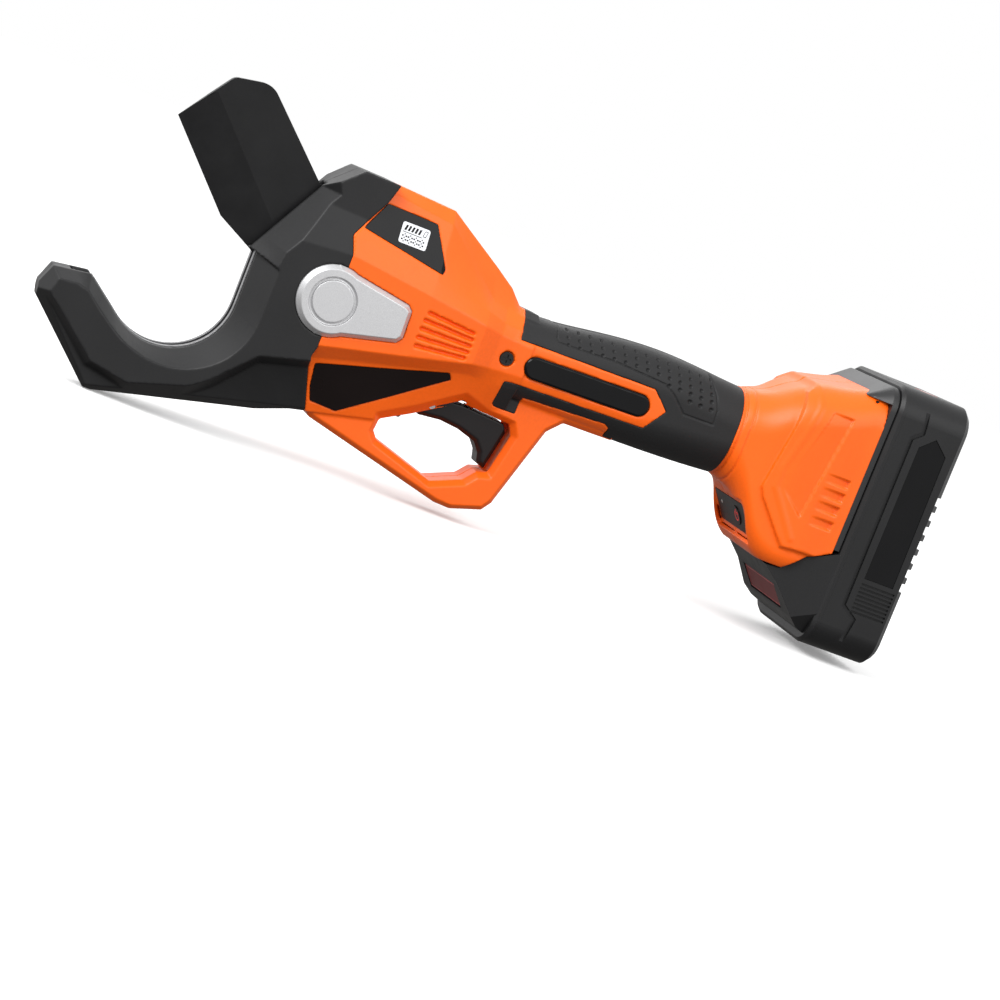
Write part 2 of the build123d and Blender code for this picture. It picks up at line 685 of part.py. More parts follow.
# ---------------------------------------------------------------- orange housing
GUARD_OUTER = [(-264.0, -49.0), (-259.0, -54.9), (-197.0, -70.3), (-190.0, -70.6), (-177.0, -66.6),
               (-174.0, -62.5), (-163.5, -27.0), (-158.0, -21.2), (-136.0, -20.9), (-134.6, -12.0),
               (-205.0, -8.0), (-250.0, -35.0)]
GUARD_HOLE = [(-221.0, -40.5), (-231.0, -45.6), (-231.6, -51.0), (-229.0, -54.2), (-202.0, -62.6),
              (-189.0, -57.3), (-185.0, -51.5), (-178.0, -51.5), (-174.5, -33.0), (-176.5, -27.5),
              (-200.0, -25.0), (-217.0, -29.0), (-219.5, -33.5)]
TRIGGER_SLOT_HALF = TRIGGER_HALF + 0.6
SWITCH_X0 = -202.0
SWITCH_X1 = -184.0
SWITCH_Z0 = -27.4
SWITCH_Z1 = -22.2
FINGER_HOLE = [(-219.5, -39.4), (-231.0, -45.8), (-231.6, -51.0), (-229.0, -54.2), (-202.0, -62.6),
               (-189.0, -57.3), (-184.8, -52.4), (-180.4, -51.2), (-176.9, -33.8), (-179.2, -29.4),
               (-201.2, -28.0)]
ISLAND = [(-215.0, 5.4), (-185.0, 5.4), (-129.5, 6.2), (-121.6, -1.0), (-128.2, -10.8), (-187.0, -12.4),
          (-191.5, -13.0), (-191.5, -22.6), (-189.0, -24.4), (-215.0, -24.4)]
LOWER_STRIP = [(-192.0, -30.0), (-192.0, -24.4), (-179.6, -24.4), (-179.6, -16.7), (-143.0, -14.8),
               (-140.6, -16.2), (-140.4, -30.0)]
RUBBER_FACE = [(-190.5, 30.0), (-190.5, -23.0), (-188.0, -30.0), (-84.0, -30.0), (-84.0, 30.0)]
NOSE_SEAM = [(-70.0, -44.6), (-52.6, -44.0), (-44.9, -35.7), (-33.4, -29.4), (-20.0, -29.4),
             (-20.0, -80.0), (-70.0, -80.0)]
RIM_X = -36.0
RING_X0 = -89.6
RING_X1 = -86.2
SHIELD = [(-59.0, 60.0), (-62.6, 34.0), (-68.0, 28.0), (-69.2, 18.0), (-73.4, -15.0), (-71.5, -19.0),
          (-57.5, -36.0), (-40.0, -36.0), (-30.0, -30.0), (-30.0, 60.0)]
SHIELD_RISE = 1.8
SHIELD_HALF = FOOT_HALF + SHIELD_RISE
DISPLAY_WINDOW = [(-261.4, 37.0), (-239.4, 36.4), (-231.0, 20.8), (-231.4, 18.6), (-268.0, 25.0)]
SIDE_PANEL = [(-266.2, -32.8), (-213.2, -17.6), (-211.6, -20.0), (-250.4, -48.6),
              (-261.8, -48.0), (-264.4, -42.0)]
BADGE = (-157.0, -3.0, 56.0, 9.4)
INLAY_DEPTH = 1.4
INLAY_PROUD = 0.15
SCREWS_RIGHT = [(-246.0, 36.5), (-224.0, -41.5), (-204.0, 15.0), (-180.5, -61.5), (-152.0, 12.5),
                (-98.0, -12.0), (-60.0, 27.0), (-58.0, -36.0)]
SCREW_FRONT = (-193.2, -3.9)
SCREW_HEAD_R = 2.8
SCREW_SHANK_R = 1.3
SCREW_BOSS_R = 3.3
SCREW_CLEAR = 0.1
SCREW_HEAD_CLEAR = 0.3
SCREW_END = 6.0                   # half width that the housing screws reach, on the left
CROSS_LEN = 3.4
CROSS_WIDTH = 0.8
INLAY_FIRST_Y = 3.0               # the inlay cuts start outside the middle of the body
GUARD_BEVEL = 2.5
GUARD_BEVEL_DEG = 38.0
HOLE_BEVEL = 3.0
SHIELD_BEVEL = 3.0
SHIELD_BEVEL_DEG = 35.0
SCREW_DEPTHS = [7.5, 7.0, 9.0, 6.5, 10.0, 10.5, 22.0, 20.0]
LCD_FACE = [(-253.4, 33.0), (-241.6, 32.5), (-241.4, 24.6), (-253.4, 24.9)]
LCD_HOLE = [(-254.0, 33.5), (-241.0, 33.0), (-240.8, 24.0), (-254.0, 24.4)]
PLATE_REAR_ROOM = [(-300, -52.0), (-262.0, -53.2), (-251.0, -41.0), (-248.6, -25.0), (-248.6, 14.5),
                   (-255.0, 30.8), (-266.0, 42.4), (-300, 42.4)]
VENT_WIDTH = 1.5
VENT_DEPTH = 1.7
VENT_ROWS = [((-232.2, 2.6), (-210.4, 0.9)), ((-233.0, -0.8), (-210.0, -1.6)),
             ((-233.2, -4.4), (-209.8, -4.3)),
             ((-233.2, -8.2), (-209.8, -7.0)), ((-232.8, -11.8), (-210.2, -9.6))]
POWER_A = (-75.7, -25.9)
POWER_B = (-67.5, -37.4)
POWER_HALF = 19.5
POWER_MARGIN = 2.6
POWER_PANEL_T = 1.6
POWER_BUTTON_Y = 8.0            # measured across the panel, towards the left side
LAMP_Y = -12.5
POWER_LEN = math.dist(POWER_A, POWER_B) - 0.4


def guard_solid():
    """Left half of the trigger guard with bevelled rims."""
    face = outline(GUARD_OUTER)
    ring = slab(face, 0, GUARD_HALF - GUARD_BEVEL)
    ring += slab(face, GUARD_HALF - GUARD_BEVEL, GUARD_HALF, taper=GUARD_BEVEL_DEG)
    hole = outline(FINGER_HOLE)
    ring -= slab(hole, -1, GUARD_HALF - HOLE_BEVEL)
    ring -= slab(hole, GUARD_HALF - HOLE_BEVEL, GUARD_HALF + 1, taper=-GUARD_BEVEL_DEG)
    return ring


def foot_outer():
    """Left half of the flared foot with its raised shield."""
    foot = left_half(foot_solid())
    face = outline(SHIELD)
    bevel_y = SHIELD_HALF - SHIELD_BEVEL
    shield = slab(face, 0, bevel_y) + slab(face, bevel_y, SHIELD_HALF, taper=SHIELD_BEVEL_DEG)
    keep = box(-80, RIM_X, -BIG, 0, -60, 60)
    return foot + (shield & keep & foot_solid(-SHIELD_RISE))


def badge_face(grow=0.0):
    """Long capsule for the name badge on the handle."""
    x, z, length, height = BADGE
    shape = SlotOverall(length + 2 * grow, height + 2 * grow)
    return Pos(x, z) * Rot(0, 0, 1.3) * shape


def inlay(face, stations):
    """Thin plate that lies in a faceted face of the body."""
    prism = slab(face, INLAY_FIRST_Y, FAR_Y)
    outer = half_loft(inset(stations, -INLAY_PROUD))
    inner = half_loft(inset(stations, INLAY_DEPTH))
    return one((outer - inner) & prism)


def grip_core():
    """Handle under the rubber, with the orange fields that stay proud."""
    full = left_half(grip_solid())
    core = left_half(grip_solid(RUBBER_T))
    fields = slab(outline(ISLAND), 0, FAR_Y) + slab(outline(LOWER_STRIP), 0, FAR_Y)
    return core + (full & fields)


def rubber_room():
    """Everything outside the handle core where the rubber lies."""
    region = slab(outline(RUBBER_FACE), 0, FAR_Y)
    region -= slab(outline(ISLAND), 0, FAR_Y)
    region -= slab(outline(LOWER_STRIP), 0, FAR_Y)
    region &= box(GRIP_FRONT_X - 2, RING_X0, -60, 0, -60, 60)
    region -= left_half(grip_solid(RUBBER_T)) + half_loft(inset(BODY, RUBBER_T))
    return region - slab(outline(GUARD_OUTER), -1, GUARD_HALF - RUBBER_T)


def overmold(side_right):
    """Left half of the rubber grip; the right one has holes over two screws."""
    rubber = (left_half(grip_solid()) + half_loft(BODY) + guard_solid()) & rubber_room()
    if side_right:
        for x, z in SCREWS_RIGHT:
            rubber -= disc(x, z, SCREW_HEAD_R + SCREW_HEAD_CLEAR, 0, FAR_Y)
    return one(rubber)


def housing_outer():
    """Left housing half as a full solid."""
    body = half_loft(BODY) + guard_solid() + grip_core()
    hole = outline(FINGER_HOLE)
    body -= slab(hole, -1, GUARD_HALF - HOLE_BEVEL)
    body -= slab(hole, GUARD_HALF - HOLE_BEVEL, BODY_HALF, taper=-GUARD_BEVEL_DEG)
    body += foot_outer()
    ring = left_half(x_cylinder(RING_X0, RING_X1, RING_R, z=0.0))
    return body + ring


def housing_room():
    """Hollow inside the left housing half."""
    room = half_loft(inset(BODY, WALL))
    room = room + left_half(grip_solid(RUBBER_T + WALL)) + left_half(foot_solid(WALL + 0.2))
    room += left_half(x_cylinder(-93, -84, RING_R - WALL - 2.2, z=0.0))
    room &= box(-300, RIM_X + 3, -60, 0, -60, 60)
    return room


def housing(side_right, outer):
    """One orange housing half from its full outer solid, built as the left one."""
    shell = outer - housing_room()
    shell += box(RIM_X - 3.0, RIM_X, -33.0, 0, -29, 39.5) & left_half(foot_solid())
    shell += power_frame()
    shell -= box(RAIL_TOP_X - 0.4, RIM_X + 5, -FLANGE_OUT - 0.4, 0, -60, RAIL_ROOM_TOP)
    x, z = SCREW_FRONT
    for sx, sz in SCREWS_RIGHT:
        shell += disc(sx, sz, SCREW_BOSS_R, 0, FAR_Y) & outer
    shell += disc(x, z, SCREW_BOSS_R + 1.2, MOTOR_R + 1.6, FAR_Y) & outer
    shell -= slab(outline(SEAM_LINE + [(-420.0, -90.0), (-420.0, 90.0)]), -1, FAR_Y)
    shell -= slab(outline(PLATE_REAR_ROOM), -1, COVER_FIRST_Y)
    shell -= slab(outline(GUARD_HOLE), -1, TRIGGER_SLOT_HALF)
    shell -= slab(outline(NOSE_SEAM), -1, FAR_Y)
    shell -= rubber_room()
    shell -= disc(TRIGGER_X, TRIGGER_Z, TRIGGER_PIN_R, -1, TRIGGER_SLOT_HALF + 3)
    shell -= box(SWITCH_X0 - 0.3, SWITCH_X1 + 0.3, -5.3, 1, SWITCH_Z0 - 0.6, SWITCH_Z1 + 0.3)
    shell -= pivot_pocket(CLEAR / 2)
    shell -= slab(outline(SIDE_PANEL), INLAY_FIRST_Y, FAR_Y) - half_loft(inset(BODY, INLAY_DEPTH))
    if not side_right:
        shell -= slab(outline(DISPLAY_WINDOW), INLAY_FIRST_Y, FAR_Y) - half_loft(inset(BODY, INLAY_DEPTH))
        shell -= slab(outline(LCD_HOLE), INLAY_FIRST_Y, FAR_Y)
    shell -= slab(badge_face(0.1), GRIP_HALF - 1.5, FAR_Y)
    shell -= disc(x, z, SCREW_HEAD_R + 0.5, 17.4, FAR_Y)
    shell -= disc(x, z, SCREW_SHANK_R + SCREW_CLEAR, 10, FAR_Y)
    for i, (sx, sz) in enumerate(SCREWS_RIGHT):
        if side_right:
            shell -= disc(sx, sz, SCREW_SHANK_R + SCREW_CLEAR, -1, FAR_Y)
            shell -= disc(sx, sz, SCREW_HEAD_R + SCREW_HEAD_CLEAR, SCREW_DEPTHS[i], FAR_Y)
        else:
            shell -= disc(sx, sz, SCREW_SHANK_R, -1, SCREW_END)
    shell -= vents()
    shell -= power_opening()
    return one(shell)


def vents():
    """Louvre grooves in the side of the body, the middle three open to the inside."""
    cuts = []
    for (x0, z0), (x1, z1) in VENT_ROWS:
        length = math.dist((x0, z0), (x1, z1))
        deg = math.degrees(math.atan2(z1 - z0, x1 - x0))
        face = Pos((x0 + x1) / 2, (z0 + z1) / 2) * Rot(0, 0, deg) * SlotOverall(length, VENT_WIDTH)
        cuts.append(slab(face, 17, FAR_Y) - half_loft(inset(BODY, VENT_DEPTH)))
    total = cuts[0]
    for cut in cuts[1:]:
        total += cut
    return total


def power_plane():
    """Plane of the control panel under the handle, x along the slope and z outward."""
    (x0, z0), (x1, z1) = POWER_A, POWER_B
    length = math.dist(POWER_A, POWER_B)
    ux, uz = (x1 - x0) / length, (z1 - z0) / length
    return Plane(origin=((x0 + x1) / 2, 0, (z0 + z1) / 2), x_dir=(ux, 0, uz), z_dir=(uz, 0, -ux))


def power_opening():
    """Flat seat and opening for the control panel."""
    plane = power_plane()
    wide, across = POWER_LEN + 2 * POWER_MARGIN, 2 * (POWER_HALF + POWER_MARGIN)
    seat = plane * Pos(0, 0, 5.0) * Box(wide, across, 10)
    pocket = plane * Box(POWER_LEN + 0.2, 2 * POWER_HALF + 0.2, 2 * (POWER_PANEL_T + 0.2))
    well = plane * Pos(0, 0, -5) * Box(POWER_LEN - 2.4, 2 * POWER_HALF - 5, 10)
    return left_half(seat + pocket + well)


def power_frame():
    """Frame inside the foot that the control panel lies on."""
    frame = power_plane() * Pos(0, 0, -2.2) * Box(POWER_LEN + 4, 2 * POWER_HALF + 4, 3.6)
    return left_half(frame) & left_half(foot_solid())


def power_panel():
    """Control panel with a button well and a lamp hole."""
    plane = power_plane()
    panel = plane * Pos(0, 0, -0.2 - POWER_PANEL_T / 2) * Box(POWER_LEN, 2 * POWER_HALF, POWER_PANEL_T)
    panel -= plane * Pos(0, POWER_BUTTON_Y, 0) * Cylinder(4.3, 10)
    panel -= plane * Pos(-2, LAMP_Y, 0) * Cylinder(0.8, 10)
    return one(panel)


def power_button():
    """Round power button."""
    plane = power_plane()
    cap = plane * Pos(0, POWER_BUTTON_Y, -1.2) * Cylinder(4.0, 2.8)
    cap += plane * Pos(0, POWER_BUTTON_Y, -3.1) * Cylinder(1.6, 1.6)
    return one(cap)


def power_switch():
    """Small board with a push switch under the button."""
    plane = power_plane()
    board = plane * Pos(0, 4, -7.4) * Box(9, 22, 1.4)
    board += plane * Pos(0, POWER_BUTTON_Y, -5.9) * Box(5.5, 5.5, 1.7)
    return one(board)


def power_lamp():
    """Small lamp in the control panel."""
    return one(power_plane() * Pos(-2, LAMP_Y, -1.2) * Cylinder(0.75, 2.4))


def display_window():
    """Glossy window over the display."""
    return inlay(outline(DISPLAY_WINDOW), BODY)


def side_panel():
    """Plain dark inlay in the lower facet."""
    return inlay(outline(SIDE_PANEL), BODY)


def display_module():
    """Display with its board behind the window."""
    shell = half_loft(inset(BODY, INLAY_DEPTH + 0.1)) - half_loft(inset(BODY, 4.4))
    glass = shell & slab(outline(LCD_FACE), INLAY_FIRST_Y, FAR_Y)
    return one(glass)


def name_badge():
    """Plain glossy capsule on the handle."""
    badge = slab(badge_face(0.0), GRIP_HALF - 1.5, GRIP_HALF + 0.3)
    badge += slab(badge_face(0.0), GRIP_HALF + 0.3, GRIP_HALF + 0.9, taper=50)
    return one(badge)


def front_screw():
    """Cross-head screw that holds the motor cradle."""
    x, z = SCREW_FRONT
    screw = disc(x, z, SCREW_HEAD_R, 17.4, 18.6) + disc(x, z, SCREW_SHANK_R, 15.4, 17.5)
    cross = slab(Pos(x, z) * (Rectangle(3.6, 0.8) + Rectangle(0.8, 3.6)), 18.0, 30)
    return one(screw - cross)


def housing_screws():
    """Screws that join the two housing halves, driven from the right."""
    made = []
    for (x, z), depth in zip(SCREWS_RIGHT, SCREW_DEPTHS):
        screw = disc(x, z, SCREW_HEAD_R, depth + 0.05, depth + 2.0)
        screw += disc(x, z, SCREW_SHANK_R, -SCREW_END, depth + 0.1)
        bars = Rectangle(CROSS_LEN, CROSS_WIDTH) + Rectangle(CROSS_WIDTH, CROSS_LEN)
        cross = slab(Pos(x, z) * bars, depth + 1.2, FAR_Y)
        made.append(one(right(screw - cross)))
    return Compound(children=made)


def trigger():
    """Curved trigger on a pin at its front end."""
    points = [(-200.0, -29.0), (-181.0, -30.2), (-178.4, -33.6), (-181.6, -50.6), (-185.4, -49.4),
              (-186.5, -45.1), (-189.6, -41.4), (-197.9, -38.9), (-206.4, -38.0), (-216.0, -39.0),
              (-216.6, -35.0), (-214.0, -29.6)]
    body = centred(outline(points), TRIGGER_HALF)
    body += Pos(TRIGGER_X, 0, TRIGGER_Z) * Rot(90, 0, 0) * Cylinder(3.4, 2 * TRIGGER_HALF)
    body -= Pos(TRIGGER_X, 0, TRIGGER_Z) * Rot(90, 0, 0) * Cylinder(TRIGGER_PIN_R + RUN_FIT, 40)
    edges = [e for e in body.edges() if abs(e.center().Y) > TRIGGER_HALF - 0.01 and e.center().Z < -37]
    body = chamfer(edges, 1.6)
    body -= Pos(-196.0, 0, -29.0) * Box(6, 6, 3)
    return one(body)


def trigger_pin():
    """Pin that carries the trigger."""
    return Pos(TRIGGER_X, 0, TRIGGER_Z) * Rot(90, 0, 0) * Cylinder(TRIGGER_PIN_R, 2 * TRIGGER_SLOT_HALF + 6)


def trigger_spring():
    """Coil spring between the trigger and the switch block."""
    path = Helix(pitch=1.1, height=2.2, radius=2.0)
    plane = Plane(origin=path @ 0, z_dir=path % 0)
    coil = sweep(plane * Circle(0.3), path=path, is_frenet=True)
    return Pos(-196.0, 0, -30.2) * coil


def trigger_switch():
    """Switch that the trigger presses."""
    block = box(SWITCH_X0, SWITCH_X1, -5.0, 5.0, SWITCH_Z0, SWITCH_Z1)
    return block + box(-188.0, -186.0, -1.2, 1.2, SWITCH_Z0 - 0.5, SWITCH_Z0)


def controller_board():
    """Motor controller in the handle."""
    board = box(-182, -104, -11.5, 11.5, -0.8, 0.8)
    for i in range(6):
        board += Pos(-172 + 9.5 * i, 5.5, 1.8) * Box(6.4, 7.0, 2.2)
    board += Pos(-118, -5, 4.6) * Cylinder(3.8, 7.8)
    board += Pos(-130, -5.5, 2.2) * Box(9, 9, 3.0)
    return one(board)


def motor_cradle():
    """Ring that seats the rear of the motor in the housing."""
    ring = x_cylinder(MOTOR_X1 - 6, MOTOR_X1 - 2.6, MOTOR_R + 1.2)
    ring -= x_cylinder(MOTOR_X1 - 7, MOTOR_X1, MOTOR_R)
    x, z = SCREW_FRONT
    for side in (-1, 1):
        ring -= Pos(x, side * 15, z) * Rot(90, 0, 0) * Cylinder(SCREW_SHANK_R + SCREW_CLEAR, 6)
    return one(ring)


# ---------------------------------------------------------------- battery receiver and pack
def pack_face(d, x):
    """Rounded outline of the pack at x, moved in by d."""
    plane = Plane(origin=(x, 0, (PACK_TOP_Z + PACK_LOW_Z) / 2), x_dir=(0, 1, 0), z_dir=(1, 0, 0))
    height = PACK_TOP_Z - PACK_LOW_Z - 2 * d
    return plane * RectangleRounded(2 * (PACK_HALF - d), height, PACK_CORNER_R - d)


def receiver():
    """Black plate on the foot that the pack's rails slide into."""
    plate = extrude(pack_face(2.4, RIM_X), amount=DECK_X - CLEAR - RIM_X)
    lip = loft([pack_face(9.0, RIM_X - 9.0), pack_face(2.4, RIM_X)])
    crest = box(RIM_X - 10, RIM_X, -40, 40, 36, 60)
    plate += lip & crest
    plate -= foot_outer() + right(foot_outer())
    plate &= box(-80, 0, -60, 60, -29.0, 60)
    plate -= box(RIM_X - 1, 0, -RAIL_OUT - 0.4, RAIL_OUT + 0.4, -60, RAIL_ROOM_TOP)
    return one(plate)


def terminal_block():
    """Contact carrier in the foot with two blade contacts."""
    block = box(-56, -44, -16, 16, 12, 30)
    for y in (-10, 10):
        block += box(-45, -37.4, y - 0.5, y + 0.5, 14, 26)
    block += box(-45, -37.4, -6, 6, 25, 30)
    return one(block)


TUB_FRONT_X = DECK_X + 3.0
LABEL = [(-19.2, -35.6), (-19.2, 23.6), (-13.0, 29.2), (-6.2, 23.6), (-5.4, -35.6)]
GROOVE_PATH = [(-27.5, 50.0), (-24.6, 44.0), (-20.6, 38.5), (-19.6, 29.5), (-23.6, 26.2), (-23.2, -49.0),
               (-16.4, -53.4), (-18.0, -64.0), (-18.0, -80.0)]
PACK_SCREWS = [(-29.5, 37.5), (29.5, 37.5), (-29.5, -63.5), (29.5, -63.5)]
GAUGE = (-15.0, -12.0, PACK_TOP_Z)
GAUGE_SIZE = (6.0, 12.0)
JACK = (-15.0, 16.0)
JACK_R = 3.9
RIB_COUNT = 8
RIB_PITCH = 1.75
RIB_FIRST_Z = -38.0
RIB_CUT_HALF = 0.45
CELL_X = -13.0
SPRING_Y = 7.0
NOSE = [(-58.4, -45.0), (-50.6, -51.4), (-41.4, -62.0), (-37.2, -65.2), (-33.4, -66.6),
        (TUB_FRONT_X, -67.2),
        (TUB_FRONT_X, -29.9), (-33.2, -29.9), (-45.1, -36.2), (-52.8, -44.5)]
NOSE_ROOM = [(-52.4, -47.2), (-47.4, -52.0), (-38.4, -62.0), (-35.8, -63.6), (-20.0, -63.6),
             (-20.0, -34.0),
             (-36.0, -34.0), (-44.0, -39.5), (-49.6, -46.6)]
NOSE_ROOM_HALF = 23.5
BUTTON_A = (-49.9, -51.6)
BUTTON_B = (-41.6, -61.3)
BUTTON_HALF = 20.6
BUTTON_LEN = math.dist(BUTTON_A, BUTTON_B) - 1.5
SIDE_GROOVE_W = 1.8


def stroke(points, width):
    """Face that follows a polyline at a constant width."""
    face = None
    for (x0, z0), (x1, z1) in zip(points, points[1:]):
        length = math.dist((x0, z0), (x1, z1))
        deg = math.degrees(math.atan2(z1 - z0, x1 - x0))
        piece = Pos((x0 + x1) / 2, (z0 + z1) / 2) * Rot(0, 0, deg) * SlotOverall(length + width, width)
        face = piece if face is None else face + piece
    return face


def pack_tub():
    """Lower case of the pack with label seats, frame grooves, grip ribs and base teeth."""
    tub = extrude(pack_face(0, TUB_FRONT_X), amount=-TUB_FRONT_X)
    base = tub.faces().sort_by(Axis.X)[-1]
    tub = chamfer(base.edges(), BASE_CHAMFER)
    tub -= extrude(pack_face(WALL, TUB_FRONT_X - 1), amount=-TUB_FRONT_X - WALL)
    label = slab(outline(LABEL), PACK_HALF - 0.9, FAR_Y)
    frame = slab(stroke(GROOVE_PATH, SIDE_GROOVE_W), PACK_HALF - 1.0, FAR_Y)
    ribs = None
    for i in range(RIB_COUNT):
        z = RIB_FIRST_Z - RIB_PITCH * i
        rib = box(-19.4, -3.6, -FAR_Y, -PACK_HALF + 0.9, z - RIB_CUT_HALF, z + RIB_CUT_HALF)
        ribs = rib if ribs is None else ribs + rib
    for cut in (label, frame, ribs):
        tub -= cut
        tub -= right(cut)
    for i in range(TOOTH_GROOVES):
        z = 5.0 - TOOTH_PITCH * i
        for side in (-1, 1):
            tub -= box(-2.4, 1, side * 30 - 9, side * 30 + 9, z - 1.9, z + 1.9)
    tub -= Pos(*GAUGE) * Box(GAUGE_SIZE[0] + 0.2, GAUGE_SIZE[1] + 0.2, 12)
    tub -= Pos(*JACK, PACK_TOP_Z) * Cylinder(JACK_R + 0.1, 12)
    for y, z in PACK_SCREWS:
        tub += x_cylinder(TUB_FRONT_X, -WALL, 3.4, y, z) - x_cylinder(TUB_FRONT_X - 1, 1, 1.2, y, z)
        tub -= x_cylinder(-3.4, 1, 3.0, y, z)
        tub -= x_cylinder(-10, 1, 1.5, y, z)
    return one(tub)


def nose_solid():
    """Nose of the pack in front of the foot."""
    plan = [(-70, 25.0), (-58, 26.0), (-50, 28.5), (-41, 33.0), (TUB_FRONT_X, PACK_HALF)]
    far = [(x, -y) for x, y in plan[::-1]]
    block = Pos(0, 0, -80) * extrude(make_face(Polyline(*plan, *far, close=True).edges()), 80)
    across = [(PACK_HALF, -20), (PACK_HALF, -55), (PACK_HALF - 7, -67.5)]
    mirrored = [(-y, z) for y, z in across[::-1]]
    section = make_face(Polyline(*across, *mirrored, close=True).edges())
    along = Plane(origin=(-80, 0, 0), x_dir=(0, 1, 0), z_dir=(1, 0, 0)) * section
    return block & centred(outline(NOSE), 60) & extrude(along, 80)


def pack_cover():
    """Upper case of the pack with the deck, the rails, the contact tower and the nose."""
    deck = extrude(pack_face(0, DECK_X), amount=TUB_FRONT_X - DECK_X)
    top = deck.faces().sort_by(Axis.X)[0]
    deck = chamfer(top.edges(), 1.4)
    cover = deck + nose_solid()
    cover -= centred(outline(NOSE_ROOM), NOSE_ROOM_HALF)
    for side in (-1, 1):
        lo, hi = sorted((side * RAIL_IN, side * RAIL_OUT))
        cover += box(RAIL_TOP_X, DECK_X + 1, lo, hi, -31.0, 35.0)
        lo, hi = sorted((side * (RAIL_IN + 1), side * FLANGE_OUT))
        cover += box(RAIL_TOP_X, FLANGE_UNDER_X, lo, hi, -31.0, 35.0)
    tower = box(RAIL_TOP_X + 0.4, DECK_X + 1, -17, 17, -8, 24)
    for y in (-10, 10):
        tower -= box(RAIL_TOP_X - 1, DECK_X - 0.5, y - 1.2, y + 1.2, 8, 40)
    cover += tower
    cover -= button_plane() * Pos(0, 0, -1) * Box(BUTTON_LEN + 0.6, 2 * BUTTON_HALF + 0.6, 14)
    for y, z in PACK_SCREWS:
        cover -= x_cylinder(DECK_X + 0.8, 1, 1.5, y, z)
    return one(cover)


def button_plane():
    """Plane of the release button on the nose, z outward."""
    (x0, z0), (x1, z1) = BUTTON_A, BUTTON_B
    length = math.dist(BUTTON_A, BUTTON_B)
    ux, uz = (x1 - x0) / length, (z1 - z0) / length
    return Plane(origin=((x0 + x1) / 2, 0, (z0 + z1) / 2), x_dir=(ux, 0, uz), z_dir=(uz, 0, -ux))


def release_button():
    """Push button on the pack's nose."""
    plane = button_plane()
    button = plane * Pos(0, 0, -1.6) * Box(BUTTON_LEN, 2 * BUTTON_HALF, 3.2)
    top = button.faces().sort_by(Axis((0, 0, 0), plane.z_dir))[-1]
    button = chamfer(top.edges(), 0.5)
    return one(button)


def release_springs():
    """Two springs under the release button."""
    made = []
    for y in (-SPRING_Y, SPRING_Y):
        path = Helix(pitch=1.3, height=4.0, radius=1.8)
        plane = Plane(origin=path @ 0, z_dir=path % 0)
        coil = sweep(plane * Circle(0.25), path=path, is_frenet=True)
        made.append(one(button_plane() * Pos(0, y, -7.9) * coil))
    return Compound(children=made)


def label_plates():
    """Plain plates in the sides of the pack."""
    face = outline([(x * 0.985 - 0.19, z * 0.993 - 0.04) for x, z in LABEL])
    plate = slab(face, PACK_HALF - 0.9, PACK_HALF - 0.35)
    return Compound(children=[one(plate), one(right(plate))])


def cells():
    """Row of round cells."""
    first = (PACK_TOP_Z + PACK_LOW_Z) / 2 - CELL_PITCH * (CELL_COUNT - 1) / 2
    made = []
    for i in range(CELL_COUNT):
        made.append(Pos(CELL_X, 0, first + CELL_PITCH * i) * Rot(90, 0, 0) * Cylinder(CELL_R, CELL_LEN))
    return Compound(children=made)


def cell_straps():
    """Nickel straps that join neighbouring cells in series."""
    first = (PACK_TOP_Z + PACK_LOW_Z) / 2 - CELL_PITCH * (CELL_COUNT - 1) / 2
    made = []
    for i in range(CELL_COUNT - 1):
        side = 1 if i % 2 else -1
        lo, hi = sorted((side * CELL_LEN / 2, side * (CELL_LEN / 2 + 0.2)))
        made.append(box(CELL_X - 4, CELL_X + 4, lo, hi, first + CELL_PITCH * i - 5, first + CELL_PITCH * (i + 1) + 5))
    return Compound(children=made)


def pack_board():
    """Protection board over the cells."""
    board = box(-25.4, -23.8, -28, 28, -52, 30)
    for i in range(4):
        board += Pos(-26.2, -18 + 12 * i, 16) * Box(1.8, 6, 8)
    return one(board)


def gauge_lens():
    """Small lens of the charge lamp on the end of the pack."""
    x, y, z = GAUGE
    return one(Pos(x, y, z - 0.9) * Box(*GAUGE_SIZE, 2.0))


def charge_jack():
    """Round charging socket on the end of the pack."""
    ring = Pos(*JACK, PACK_TOP_Z - 4.8) * Cylinder(JACK_R, 9.6)
    ring -= Pos(*JACK, PACK_TOP_Z - 1) * Cylinder(2.75, 14)
    ring += Pos(*JACK, PACK_TOP_Z - 5.4) * Cylinder(1.05, 8.4)
    ring += Pos(*JACK, PACK_TOP_Z - 9.2) * Cylinder(JACK_R, 1.2)
    return one(ring)


def pack_screws():
    """Screws that close the pack from its base."""
    made = []
    for y, z in PACK_SCREWS:
        screw = x_cylinder(-3.4, -1.6, 2.9, y, z) + x_cylinder(-14, -3.3, 1.2, y, z)
        screw -= Pos(-1.6, y, z) * (Box(1.4, 3.2, 0.8) + Box(1.4, 0.8, 3.2))
        made.append(one(screw))
    return Compound(children=made)


